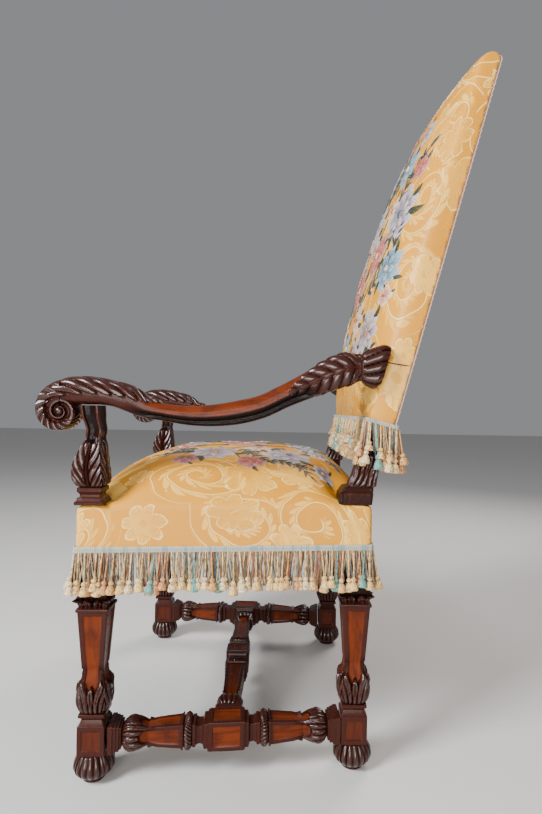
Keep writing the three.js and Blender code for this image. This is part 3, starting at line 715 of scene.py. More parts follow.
def smooth_rows(table, shares):
    """Values of a table at shares of its first column, on a curve without corners."""
    places = table[:, 0]
    slopes = np.gradient(table[:, 1:], places, axis=0)
    i = np.clip(np.searchsorted(places, shares) - 1, 0, len(places) - 2)
    gap = (places[i + 1] - places[i])[:, None]
    t = (shares - places[i])[:, None] / gap
    first, second = table[i, 1:], table[i + 1, 1:]
    eased = 3 * t**2 - 2 * t**3
    bend = (t**3 - 2 * t**2 + t) * slopes[i] + (t**3 - t**2) * slopes[i + 1]
    return first + eased * (second - first) + bend * gap


def arm_leaves(share, turn):
    """Relief, height share and cover of an arm's two leaves and its knob, where turn runs from 0 at the
    arm's top over 1 at its side to 2 below."""
    t = (share + 0.04) / 0.335
    finger = ridges(6.6 * t - 1.5 * turn - 0.8 * turn**2 + 0.2)
    reach = 1.12 * np.clip(1 - np.clip(t, 0, 1) ** 3.5, 0, 1) ** 0.6 * (0.80 + 0.25 * finger)
    front = smooth(0, 0.07, reach - turn) * smooth(1.02, 0.96, t)
    rib = 0.5 * bump(0, 0.12, turn) + 0.25 * bump(0.88, 0.16, turn)
    front_leaf = front * np.clip(0.12 + 0.78 * finger + rib, 0, 1)
    t = (share - 0.69) / 0.235
    beside = np.abs(turn - 1.0)
    finger = ridges(6.5 * t + 1.7 * beside)
    reach = 1.1 * np.clip(t, 0, 1) ** 0.55 * (0.86 + 0.18 * finger) + 0.02
    rear = smooth(0, 0.08, reach - beside) * smooth(0, 0.04, t) * smooth(1.0, 0.97, t)
    rib = 0.55 * bump(0, 0.07, beside)
    rear_leaf = rear * np.clip(0.15 + 0.8 * finger * smooth(0.02, 0.14, beside) + rib, 0, 1)
    t = (share - 0.925) / 0.075
    knob = smooth(0, 0.1, t)
    knob_ribs = ridges(3.0 * turn + 0.5 * t, 0.7)
    relief = 7.0 * front_leaf - 2.4 * front + 5.4 * rear_leaf - 2.2 * rear + knob * (4.6 * knob_ribs - 3.6)
    bare = (1 - front) * (1 - rear)
    height = np.clip(0.62 * bare * (1 - knob) + front_leaf + rear_leaf + knob * knob_ribs, 0, 1)
    return relief, height, bare


def arm_body(place):
    """The arm's length from its scroll to its knob. place is the middle of its left support's top."""
    shares = np.r_[np.linspace(-0.045, 0.3, 190), np.linspace(0.3, 0.68, 50), np.linspace(0.68, 1.0, 170)]
    shares = np.unique(shares)
    rise, thick, wide = smooth_rows(arm_spine, shares).T
    y = place[1] - scroll_ahead + arm_run * shares
    z = place[2] + rise
    slope = np.arctan2(np.gradient(z), np.gradient(y))
    knob_slope = np.interp(shares, [0.9, 0.96, 1.0], [0.12, -back_rake / 2, -back_rake])
    slope = np.where(shares > 0.9, knob_slope, slope)[:, None]
    around = np.linspace(0, 2 * np.pi, 121)[:-1]
    fold = np.abs((around + np.pi) % (2 * np.pi) - np.pi)
    hollowed = np.interp(fold, np.arctan2(grip_across, grip_up), np.hypot(grip_across, grip_up))
    rounded = (np.abs(np.sin(fold)) ** 3.2 + np.abs(np.cos(fold)) ** 3.2) ** (-1 / 3.2)
    grip = (smooth(0.18, 0.30, shares) * smooth(0.82, 0.70, shares))[:, None]
    shape = grip * hollowed + (1 - grip) * rounded
    relief, height, bare = arm_leaves(shares[:, None], (fold / (np.pi / 2))[None, :])
    below = -np.cos(fold)[None, :]
    # Painted shade: the hollow along the grip's lower side loses most of its relief share and all its
    # polished colour, so it is painted dark.
    shaded_groove = grip * smooth(0.9, 0.86, below) * smooth(0.02, 0.24, below)
    height = height * (1 - 0.8 * shaded_groove)
    polished = grip * bare * (1 - shaded_groove) * (0.45 + 0.55 * smooth(0.5, -0.3, below))
    a, b = np.sin(around) * shape * wide[:, None], np.cos(around) * shape * thick[:, None]
    grow = 1 + relief / np.maximum(np.hypot(a, b), 8)
    a, b = a * grow, b * grow
    x = place[0] + (place[1] - y) * arm_taper(place)
    points = np.stack([x[:, None] + a, y[:, None] - b * np.sin(slope), z[:, None] + b * np.cos(slope)], -1)
    return points, height, polished


def arm_taper(place):
    """How far an arm moves outwards for each mm forwards."""
    return (place[0] - arm_end_x) / (arm_run - scroll_ahead)


def arm_scroll(place):
    """The arm's front end: a drum with a spiral cut into both faces and lobes that curl over its rim."""
    angle = np.linspace(0, 2 * np.pi, 121)[:-1]
    quarter = ((angle - np.pi / 2) % (2 * np.pi)) / (np.pi / 2)
    closing = np.where(quarter > 3, np.interp(quarter, [3, 4], [0.512, 0.5]), winding_share**quarter)
    rim_radius = scroll_radius * closing
    ring = np.r_[np.linspace(0.04, 0.97, 30), 0.99, 1.0][:, None]
    r = ring * rim_radius
    winding = (np.log(np.maximum(r, 1e-3) / scroll_radius) / math.log(winding_share) - quarter) / 4
    part = winding % 1.0
    lobes = ridges(angle / (2 * np.pi) * 15 - 2.6 * ring, 0.55)
    curling = smooth(0.62, 0.74, ring + 0.10 * lobes) * smooth(2.75, 2.3, quarter) * smooth(0.0, 0.1, quarter)
    rim = smooth(0, 0.05, part) * smooth(0.34, 0.24, part) * (1 - curling) + curling * (0.15 + 1.15 * lobes)
    rim = np.where(ring > 0.985, 0.35, rim)
    hollow = np.sin(np.pi * np.clip((part - 0.26) / 0.74, 0, 1)) ** 0.7 * (1 - curling)
    in_eye = r < eye_radius
    eye = np.sqrt(np.clip(1 - (r / eye_radius) ** 2, 0, 1))
    lift = np.where(in_eye, 0.5 + 4.0 * eye, 3.4 * rim - 3.8 * hollow)
    # Painted shade: dark lines at both edges of the spiral's hollow, where it meets the rim.
    painted_crease_shade = bump(0.33, 0.05, part) + bump(0.99, 0.04, part)
    face_height = np.clip(0.55 + 0.4 * rim - 0.45 * painted_crease_shade * (1 - curling), 0.05, 1)
    face_height = np.where(in_eye, 0.9, face_height)
    face_height = np.where(curling > 0.3, 0.16 + 0.75 * rim, face_height)
    out = scroll_half - 2 + lift
    band = np.linspace(-1, 1, 22)[1:-1][:, None]
    ribs = ridges(angle / (2 * np.pi) * 26 + 1.1 * np.abs(band), 0.6)
    over = smooth(3.05, 2.7, quarter)[None, :]
    band_radius = rim_radius + 1.4 * (1 - band**2) + over * (3.6 * ribs - 2.2)
    outs = np.concatenate([-out, band * (scroll_half - 2) + 0 * angle, out[::-1]])
    radii = np.concatenate([r, band_radius, r[::-1]])
    height = np.concatenate([face_height, np.where(over > 0.3, ribs, 0.6), face_height[::-1]])
    x = place[0] + scroll_ahead * arm_taper(place) + outs
    y = place[1] - scroll_ahead + radii * np.cos(angle)
    grid = np.stack([x, y, place[2] + radii * np.sin(angle)], -1)
    return grid, height, 0 * height


walnut_arm = old_walnut("walnut_arm", (60, 8, 60))
arm_place = support_place("left", 1) + (0, 0, support_head - 1)
left_shells = [arm_body(arm_place), arm_scroll(arm_place)]
right_shells = [(grid[::-1] * (-1, 1, 1), height[::-1], panel[::-1]) for grid, height, panel in left_shells]
for side, shells in (("left", left_shells), ("right", right_shells)):
    shells_to_piece(f"carved_arm_{side}", shells, walnut_arm, replaced=f"arm_{side}")

# Seat upholstery: horsehair domed over webbing, under one silk damask cover that is drawn over the rails
# and nailed to their underside, with a dark linen lining below. Coloured silk flowers are sewn on its top.
cover_ease = 2
seat_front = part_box("seat_upholstery")[0].y / mm + cover_ease
seat_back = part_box("seat_upholstery")[1].y / mm - cover_ease
seat_middle, seat_reach = (seat_front + seat_back) / 2, (seat_back - seat_front) / 2
seat_foot = rail_foot + 0.6
seat_crown = 74
pad_inset = 0.8
pad_voxel = 7
swelling_frames = 20
damask_ground = (0.66, 0.278, 0.010)
damask_motif = (1.0, 0.62, 0.140)
damask_line = (1.0, 0.78, 0.29)
# A darker tone of the silk, for the weave's slubs and for painted shade bands.
damask_slub_and_shade = (0.48, 0.170, 0.008)


def silk_damask(name):
    """Straw-gold silk, woven with flowers and leafy scrolls a tone lighter, on the piece's own cloth map."""
    finish = Finish(name, Specular_IOR_Level=0.32)
    cloth = finish.node("ShaderNodeUVMap", {"uv_map": "cloth"})
    centred = finish.vector("SUBTRACT", finish.noise(cloth, 7, 2, output=1), (0.5, 0.5, 0.5))
    swayed = finish.vector("ADD", cloth, finish.vector("MULTIPLY", centred, (0.065, 0.065, 0)))
    ragged = finish.noise(cloth, 70, 2)

    def scattered(scale, randomness):
        """Distance from the nearest of many scattered centres, the angle round it and its own chance."""
        values = {"Vector": swayed, "Scale": scale, "Randomness": randomness}
        cells = finish.node("ShaderNodeTexVoronoi", {"voronoi_dimensions": "2D"}, values, "Color")
        chance = finish.node("ShaderNodeSeparateColor", None, {0: cells})
        offset = finish.vector("SUBTRACT", swayed, cells.beside("Position"))
        reach = finish.node("ShaderNodeVectorMath", {"operation": "LENGTH"}, {0: offset}, 1)
        across = finish.node("ShaderNodeSeparateXYZ", None, {0: offset})
        return reach, across.math("ARCTAN2", across.beside(1), across), chance

    def petals(angle, count, turn, sharp):
        wave = angle * (count / 2) + turn
        wave = wave.math("SINE", wave)
        return wave.math("ABSOLUTE", wave) ** sharp

    reach, angle, chance = scattered(8.5, 0.7)
    bloom = 0.024 + 0.028 * chance
    outer = bloom * (0.46 + 0.46 * petals(angle, 7, 6 * chance, 0.6) + 0.36 * ragged) - reach
    flower = finish.step(outer, 0.0, 0.001)
    outline = flower * finish.step(outer, 0.0038, 0.0014)
    ring = bloom * (0.40 + 0.22 * petals(angle, 6, 2 * chance, 0.6) + 0.14 * ragged) - reach
    seams = finish.step(ring, -0.0011, -0.0002) * finish.step(ring, 0.0011, 0.0002)
    veins = finish.step(petals(angle, 22, 3, 1.0), 0.86, 0.99) * finish.step(ring, 0.0, -0.003)
    heart = finish.step(0.2 * bloom - reach, 0.0, 0.001)
    flower = flower * (1 - 0.8 * seams.larger(veins * 0.7)) * (1 - 0.5 * heart)

    reach, angle, chance = scattered(6.0, 0.8)
    way = finish.step(chance, 0.49, 0.51) * 2 - 1
    winding = reach / 0.030 - angle * way / (2 * math.pi) + 3 * chance
    part = winding.math("FRACT", winding)
    reached = finish.step(reach, 0.090, 0.080) * finish.step(reach, 0.008, 0.012)
    stalk = finish.step(part, 0.0, 0.03) * finish.step(part, 0.10, 0.07) * reached
    lobes = petals(angle + reach * 30, 13, 5 * chance, 0.6) * (0.30 + 0.5 * ragged)
    leaves = finish.step(lobes + 0.02 - part, 0.0, 0.03) * finish.step(part, 0.12, 0.15)
    leaves = leaves * reached * finish.step(finish.noise(cloth, 9, 1), 0.40, 0.50)
    shown = finish.step(finish.noise(cloth, 3.1, 2), 0.30, 0.62) * 0.6 + 0.4
    filled = finish.step(finish.noise(cloth, 2.4, 1), 0.42, 0.60) * 0.55 + 0.20
    motif = (flower * filled).larger(leaves * 0.75) * shown
    line = (stalk * (1 - flower)).larger(outline) * 0.75
    colour = finish.mix(line, finish.mix(motif, damask_ground, damask_motif), damask_line)
    slub = finish.noise(finish.vector("MULTIPLY", cloth, (60, 1400, 1)), 1, 2)
    colour = finish.mix(finish.step(slub, 0.35, 0.8) * 0.28, colour, damask_slub_and_shade)
    # Painted shade: broad darker bands that stand for the silk's sheen changing over the cover.
    sheen_shade_bands = finish.noise(cloth, 4.5, 3)
    colour = finish.mix(finish.step(sheen_shade_bands, 0.50, 0.75) * 0.30, colour, damask_slub_and_shade)
    woven = motif * 0.6 + line * 0.4 + 0.25 * slub
    return finish.surface(colour, 0.46 - 0.14 * motif - 0.08 * line, woven, 0.35, 0.0004)


def seat_half(y):
    return np.interp(y, [seat_front, seat_back], [305.5, 270.2])


def seat_top(x, y):
    """Height of the dome, which dips to the rails' top round the arm supports and the rear posts."""
    row = np.clip((y - seat_middle) / seat_reach, -1, 1)
    column = np.clip(x / seat_half(y), -1, 1)
    crown = ((1 - np.abs(row) ** 3.0) * (1 - np.abs(column) ** 3.0)) ** 0.62
    for side, sign in sides:
        for centre, half in ((support_place(side, sign), plate_half), (post_place(side), block_half)):
            beside = np.maximum(np.abs(x - centre[0]) - half, 0)
            away = np.hypot(beside, np.maximum(np.abs(y - centre[1]) - half - 2, 0))
            crown = crown * (1 - np.exp(-((away / 26) ** 1.6)))
    return rail_head + 0.5 + seat_crown * crown


def closed_slab(name, top, bottom):
    """A closed mesh between two sheets of points with the same rows and columns."""
    index = np.arange(top[..., 0].size).reshape(top.shape[:2])
    upper = np.stack([index[:-1, :-1], index[:-1, 1:], index[1:, 1:], index[1:, :-1]], -1).reshape(-1, 4)
    rim = np.r_[index[0], index[1:, -1], index[-1, -2::-1], index[-2:0:-1, 0]]
    ahead = np.roll(rim, -1)
    walls = np.stack([ahead, rim, rim + index.size, ahead + index.size], -1)
    points = np.concatenate([top.reshape(-1, 3), bottom.reshape(-1, 3)])
    return new_piece(name, points, np.concatenate([upper, upper[:, ::-1] + index.size, walls]))


def points_of(mesh):
    flat = np.empty(3 * len(mesh.vertices), np.float32)
    mesh.vertices.foreach_get("co", flat)
    return flat.reshape(-1, 3).astype(float)


def move_points(mesh, points):
    mesh.vertices.foreach_set("co", points.astype(np.float32).ravel())
    mesh.update()


def applied(piece, kind, **settings):
    modifier = piece.modifiers.new(kind.lower(), kind)
    for key, value in settings.items():
        setattr(modifier, key, value)
    plain = bpy.data.meshes.new_from_object(piece.evaluated_get(bpy.context.evaluated_depsgraph_get()))
    piece.modifiers.clear()
    piece.data = plain


def swell(piece, slack):
    """Blows a pad up as cloth, and lets no point move further than its slack in mm."""
    start = points_of(piece.data)
    pressed = piece.modifiers.new("stuffing", "CLOTH")
    pressed.settings.use_pressure = True
    pressed.settings.uniform_pressure_force = 4
    pressed.settings.effector_weights.gravity = 0
    pressed.settings.quality = 4
    pressed.settings.tension_stiffness = 40
    pressed.settings.compression_stiffness = 40
    pressed.collision_settings.use_self_collision = False
    pressed.point_cache.frame_start, pressed.point_cache.frame_end = 1, swelling_frames
    for step in range(1, swelling_frames + 1):
        bpy.context.scene.frame_set(step)
    swollen = piece.evaluated_get(bpy.context.evaluated_depsgraph_get()).data
    moved = points_of(swollen) - start
    piece.modifiers.remove(pressed)
    bpy.context.scene.frame_set(1)
    reach = np.linalg.norm(moved, axis=1, keepdims=True)
    most = slack(start / mm)[:, None] * mm
    move_points(piece.data, start + moved * np.minimum(1, most / np.maximum(reach, 1e-9)))


def map_cloth(mesh, chart):
    """Gives a mesh its cloth map, in metres. chart(points, normals) returns it for corners, in mm."""
    corner = np.empty(len(mesh.loops), np.int32)
    mesh.loops.foreach_get("vertex_index", corner)
    totals = np.empty(len(mesh.polygons), np.int32)
    mesh.polygons.foreach_get("loop_total", totals)
    normals = np.empty(3 * len(mesh.polygons), np.float32)
    mesh.polygons.foreach_get("normal", normals)
    owner = np.repeat(np.arange(len(totals)), totals)
    chosen = chart(points_of(mesh)[corner] / mm, normals.reshape(-1, 3)[owner])
    layer = mesh.uv_layers.new(name="cloth")
    layer.data.foreach_set("uv", (chosen * mm).astype(np.float32).ravel())


def cushion(name, sheets, slack, drawn_tight, chart, cloths, node):
    """A stuffed pad between two sheets: blown up, drawn tight along its sides, and given its cover."""
    pad = closed_slab(name, *sheets)
    applied(pad, "REMESH", mode="VOXEL", voxel_size=pad_voxel * mm)
    swell(pad, slack)
    applied(pad, "SMOOTH", factor=0.5, iterations=2)
    applied(pad, "SUBSURF", levels=1, render_levels=1)
    pad.data.polygons.foreach_set("use_smooth", np.ones(len(pad.data.polygons), bool))
    move_points(pad.data, drawn_tight(points_of(pad.data) / mm) * mm)
    map_cloth(pad.data, chart)
    pad.data.materials.clear()
    for cloth in cloths:
        pad.data.materials.append(cloth)
    finished(pad, node)
    return pad


def spaced(count):
    """Places from -1 to 1 that lie closer together near both ends."""
    share = np.linspace(-1, 1, count)
    return np.sign(share) * (1 - (1 - np.abs(share)) ** 1.25)


def seat_slack(points):
    return 0.5 + 9 * smooth(rail_head - 6, rail_head + 50, points[:, 2])


def seat_drawn(points):
    x, y, z = points.T
    half = seat_half(y)
    tight = smooth(rail_head + 12, rail_head - 8, z)
    near_x = smooth(14, 4, half - np.abs(x))
    near_y = smooth(14, 4, np.minimum(y - seat_front, seat_back - y))
    out_x = np.minimum(np.abs(x) + 4, half + 2) - np.abs(x)
    out_y = np.clip(y + 5 * np.sign(y - seat_middle), seat_front - 3, seat_back + 3) - y
    return np.stack([x + np.sign(x) * out_x * tight * near_x, y + out_y * tight * near_y, z], -1)


def seat_chart(points, normals):
    x, y, z = points.T
    fall = np.maximum(0, seat_top(0 * y, y) - z)
    over = np.stack([y, x + np.sign(x) * fall], -1)
    end = (z < rail_head + 12) & (np.abs(normals[:, 1]) > 0.6)
    over[end, 0] = (y + np.sign(y) * (rail_head + 12 - z))[end]
    over[end, 1] = x[end]
    return over


damask = silk_damask("silk_damask_cover")
lining = Finish("linen_lining", Specular_IOR_Level=0.2)
threads = lining.noise(lining.stretched((900, 900, 900)), 1, 2)
lining_colour = lining.mix(threads, (0.030, 0.024, 0.020), (0.075, 0.062, 0.050))
dark_linen = lining.surface(lining_colour, 0.85 - 0.1 * threads, threads, 0.4)

rows_y = seat_middle + spaced(61)[:, None] * (seat_reach - pad_inset)
columns_x = spaced(61) * (seat_half(rows_y) - pad_inset)
upper_sheet = np.stack([columns_x, rows_y + 0 * columns_x, seat_top(columns_x, rows_y)], -1)
lower_sheet = np.stack([columns_x, rows_y + 0 * columns_x, seat_foot + 0 * columns_x], -1)
seat_sheets = (upper_sheet, lower_sheet)
cloths = (damask, dark_linen)
seat = cushion("seat_cushion", seat_sheets, seat_slack, seat_drawn, seat_chart, cloths, "seat_upholstery")
for face in seat.data.polygons:
    face.material_index = int(face.normal.z < -0.8 and face.center.z < (seat_foot + 4) * mm)

# Embroidery of the seat: flowers, buds, leaves and stems of floss silk in satin stitch, which stand a
# little proud of the damask. Each petal is one padded patch of stitches.
silver, lavender, mauve = (0.50, 0.43, 0.42), (0.105, 0.070, 0.115), (0.120, 0.034, 0.048)
sky, blue, teal = (0.26, 0.38, 0.44), (0.020, 0.060, 0.12), (0.016, 0.062, 0.066)
coral, rose, cream = (0.33, 0.028, 0.018), (0.50, 0.15, 0.11), (0.74, 0.56, 0.34)
moss, bottle, ochre = (0.040, 0.045, 0.014), (0.006, 0.016, 0.009), (0.34, 0.15, 0.03)


def eased(path, times):
    """A path with its corners rounded off, a little each time."""
    for _ in range(times):
        path[1:-1] = (path[:-2] + 2 * path[1:-1] + path[2:]) / 4
    return path


class Needlework:
    """Patches of satin stitch, laid on a pad through a chart from its flat pattern to its surface."""

    def __init__(self, lay):
        self.lay = lay
        self.shells = []
        self.colours = []

    def sew(self, p, q, height, u, colours, inner, outer):
        """Lays one closed shell of stitches and notes the dye of each point and of its two tips."""
        self.shells.append((self.lay(p, q, height), 0.5 + 0 * p, u + 0 * p))
        self.colours += [colours, np.array([inner]), np.array([outer])]

    def patch(self, start, angle, length, width, inner, outer, lift=1.6, bend=0.0, blunt=0.75, rim=None):
        """One pointed oval of stitches, from its foot outwards along an angle, with a rim of paler thread."""
        u = np.linspace(0.02, 0.98, 9)[:, None]
        v = np.array([1, 0.6, 0, -0.6, -1, -0.5, 0.5])
        up = np.array([0, 0.75, 1, 0.75, 0, -0.5, -0.5])
        half = width / 2 * np.sin(np.pi * u**blunt) ** 0.7
        turn = angle + bend * (u - 0.5)
        cos, sin = np.cos(turn), np.sin(turn)
        p = start[0] + length * u * cos - half * v * sin
        q = start[1] + length * u * sin + half * v * cos
        height = 0.25 + lift * np.sin(np.pi * u) ** 0.5 * up
        stitch = 0.16 * np.sin(9 * v + 5 * u + length)
        shade = np.clip(smooth(0.15, 0.95, u) + stitch, 0, 1)[..., None]
        colour = np.array(inner) * (1 - shade) + np.array(outer) * shade
        edge = smooth(0.55, 1.1, np.abs(v) + smooth(0.75, 1.0, u))[..., None]
        rim = (np.array(outer) + silver) / 2 if rim is None else np.array(rim)
        colour = colour * (1 - edge) + rim * edge
        self.sew(p, q, height, u, colour.reshape(-1, 3), inner, outer)

    def stem(self, path, width, colour):
        path = np.array(path, float)
        t = np.linspace(0, 1, 6 * len(path))
        knots = np.linspace(0, 1, len(path))
        line = eased(np.stack([np.interp(t, knots, column) for column in path.T], -1), 6)
        run = np.gradient(line, axis=0)
        run /= np.linalg.norm(run, axis=1, keepdims=True)
        v = np.array([1, 0, -1, 0])
        up = np.array([0.1, 0.9, 0.1, -0.6])
        p = line[:, :1] - run[:, 1:] * v * width / 2
        q = line[:, 1:] + run[:, :1] * v * width / 2
        self.sew(p, q, 0.3 + up, t[:, None], np.tile(colour, (p.size, 1)), colour, colour)

    def flower(self, centre, radius, petals, inner, outer, heart=ochre, rings=2, turn=0.0):
        """Rings of petals round a knotted heart, over a ruff of leaves."""

        def around(share, angle):
            return centre[0] + share * radius * math.cos(angle), centre[1] + share * radius * math.sin(angle)

        for k in range(4 if radius > 30 else 2):
            angle = turn + 0.5 + 1.7 * k + 0.3 * math.sin(centre[1] + k)
            foot, long, wide = around(0.55, angle), 0.85 * radius, 0.34 * radius
            self.patch(foot, angle, long, wide, bottle, moss, 0.9, 0.5, rim=moss)
        for ring in range(rings):
            share = 1 - 0.72 / rings * ring
            tone = 0.3 * ring
            deep = tuple(a * (1 - tone) + b * tone for a, b in zip(inner, outer))
            for k in range(petals):
                sway = 0.35 * math.sin(5.1 * k + 2.3 * ring + centre[0])
                angle = turn + 2 * np.pi * (k + 0.5 * ring + 0.3 * sway) / petals
                wide = 2 * np.pi / petals * radius * share * 0.80
                size = radius * share * (1 + 0.22 * sway)
                lift = 1.3 + 0.9 * ring
                self.patch(around(0.10, angle), angle, size, wide, deep, outer, lift, 0.5 * sway, 1.25)
        for k in range(5):
            angle = turn + 2 * np.pi * k / 5
            self.patch(centre, angle, 0.17 * radius, 0.16 * radius, heart, heart, 3.0, 0, 0.8)

    def spray(self, start, angle, count, size, inner, outer, bend=0.5):
        """A stem with leaves in pairs along it."""
        path = [start]
        pace = size * 0.7
        for k in range(count + 1):
            angle += bend / (count + 1)
            path.append((path[-1][0] + pace * math.cos(angle), path[-1][1] + pace * math.sin(angle)))
            for way in (-1, 1):
                long = size * (1.15 - 0.1 * k)
                self.patch(path[-2], angle + way * 0.62, long, size * 0.34, inner, outer, 1.2, 0.3 * way)
        self.patch(path[-1], angle, size, size * 0.34, inner, outer, 1.2)
        self.stem(path, 2.2, inner)

    def half_bouquet(self, way, stems, flowers, sprays):
        """One half of a bouquet, on the side that way, 1 or -1, stands for."""
        for width, colour, path in stems:
            self.stem([(way * x, y) for x, y in path], width, colour)
        for x, y, radius, petals, inner, outer, heart, options in flowers:
            self.flower((way * x, y), radius, petals, inner, outer, heart, **options)
        for x, y, lean, count, size, inner, outer, bend in sprays:
            angle = lean if way > 0 else math.pi - lean
            self.spray((way * x, y), angle, count, size, inner, outer, bend * way)

    def sewn(self, name, material):
        piece = shells_to_piece(name, self.shells, material)
        dye = piece.data.attributes.new("thread", "FLOAT_COLOR", "POINT")
        colours = np.concatenate(self.colours)
        dye.data.foreach_set("color", np.c_[colours, np.ones(len(colours))].astype(np.float32).ravel())


def laid_on(piece, place, way):
    """A chart that drops points of a flat pattern on a piece, along a way, and lifts them by a height."""
    corners = [vertex.co for vertex in piece.data.vertices]
    tree = BVHTree.FromPolygons(corners, [face.vertices[:] for face in piece.data.polygons])

    def lay(p, q, height):
        p, q, height = np.broadcast_arrays(p, q, height)
        out = np.empty(p.shape + (3,))
        for i in np.ndindex(p.shape):
            start = Vector(place(p[i], q[i])) * mm
            hit, normal, _, _ = tree.ray_cast(start, Vector(way))
            if hit is None:
                hit, normal, _, _ = tree.find_nearest(start)
            out[i] = (hit + normal * float(height[i]) * mm) / mm
        return out

    return lay


def floss_silk(name):
    """Satin stitches, which run along each patch, with painted highlights on some strands and painted shade
    between them.
    """
    finish = Finish(name, Sheen_Weight=0.05, Specular_IOR_Level=0.4)
    dye = finish.attribute("thread", "Color")
    strands = finish.noise(finish.stretched((420, 420, 420)), 1, 3)
    # Painted highlight on the lighter strands, then painted shade on the darker ones.
    colour = finish.mix(finish.step(strands, 0.55, 0.75) * 0.35, dye, (0.55, 0.46, 0.38))
    colour = finish.mix(finish.step(strands, 0.50, 0.28) * 0.65, colour, (0.02, 0.014, 0.012))
    return finish.surface(colour, 0.34 + 0.2 * strands, strands, 0.5, 0.0008)


floss = floss_silk("floss_silk")
posy = Needlework(laid_on(seat, lambda p, q: (p, q, 700), (0, 0, -1)))
for way in (1, -1):
    stems = (
        (3, moss, [(14, 90), (40, 30), (60, -40), (120, -90), (190, -60)]),
        (3, moss, [(30, 60), (110, 70), (190, 20), (215, -30)]),
        (2.6, bottle, [(20, -60), (60, -150), (120, -190)]),
    )
    flowers = (
        (158, 28, 44, 7, lavender, silver, mauve, {"turn": 0.2 * way}),
        (150, -112, 46, 8, mauve, silver, ochre, {"turn": 0.5}),
        (70, -190, 34, 6, coral, rose, cream, {}),
        (62, 78, 32, 6, blue, sky, cream, {"turn": 0.3}),
        (205, -40, 26, 5, coral, rose, ochre, {}),
        (108, -30, 30, 6, rose, cream, coral, {"turn": 0.7}),
        (196, -160, 24, 5, mauve, rose, ochre, {}),
        (112, 92, 24, 6, mauve, silver, ochre, {"turn": 0.4}),
        (100, -30, 22, 5, blue, sky, cream, {"rings": 1}),
        (205, 90, 18, 5, lavender, silver, ochre, {"rings": 1}),
    )
    sprays = (
        (120, -60, 0.2, 4, 26, bottle, moss, 0.6),
        (90, 20, -0.5, 4, 24, bottle, moss, -0.5),
        (150, -150, 4.4, 3, 22, bottle, moss, 0.4),
        (195, 10, 1.0, 3, 20, bottle, teal, 0.5),
        (110, -150, -1.2, 3, 24, moss, teal, 0.7),
        (100, 84, 0.9, 3, 24, bottle, teal, -0.6),
        (200, 40, 0.4, 2, 20, moss, ochre, 0.4),
    )
    posy.half_bouquet(way, stems, flowers, sprays)
posy.flower((0, -60), 52, 9, coral, rose, cream, rings=3)
posy.flower((0, 60), 30, 6, mauve, silver, ochre)
posy.flower((0, -160), 26, 6, blue, sky, ochre)
posy.sewn("seat_embroidery", floss)

# Seat fringe: a woven heading of blue-grey silk sewn along the lower edge of the cover, with cords of many
# colours hanging from it. Every group of cords ends in a small turned-head tassel.
heading_height = 10
tassel_pitch = 9.2
cord_pitch = 2.2
stand_off = 1.6
heading_pale, heading_blue = (0.47, 0.43, 0.34), (0.10, 0.20, 0.23)
selvedge_pale = (0.55, 0.46, 0.30)
shade_between_plies = (0.05, 0.030, 0.018)
hanging_figures = ("Pitch", "Sideways sway", "Outward lean", "Lean spread", "Shortest", "Longest")


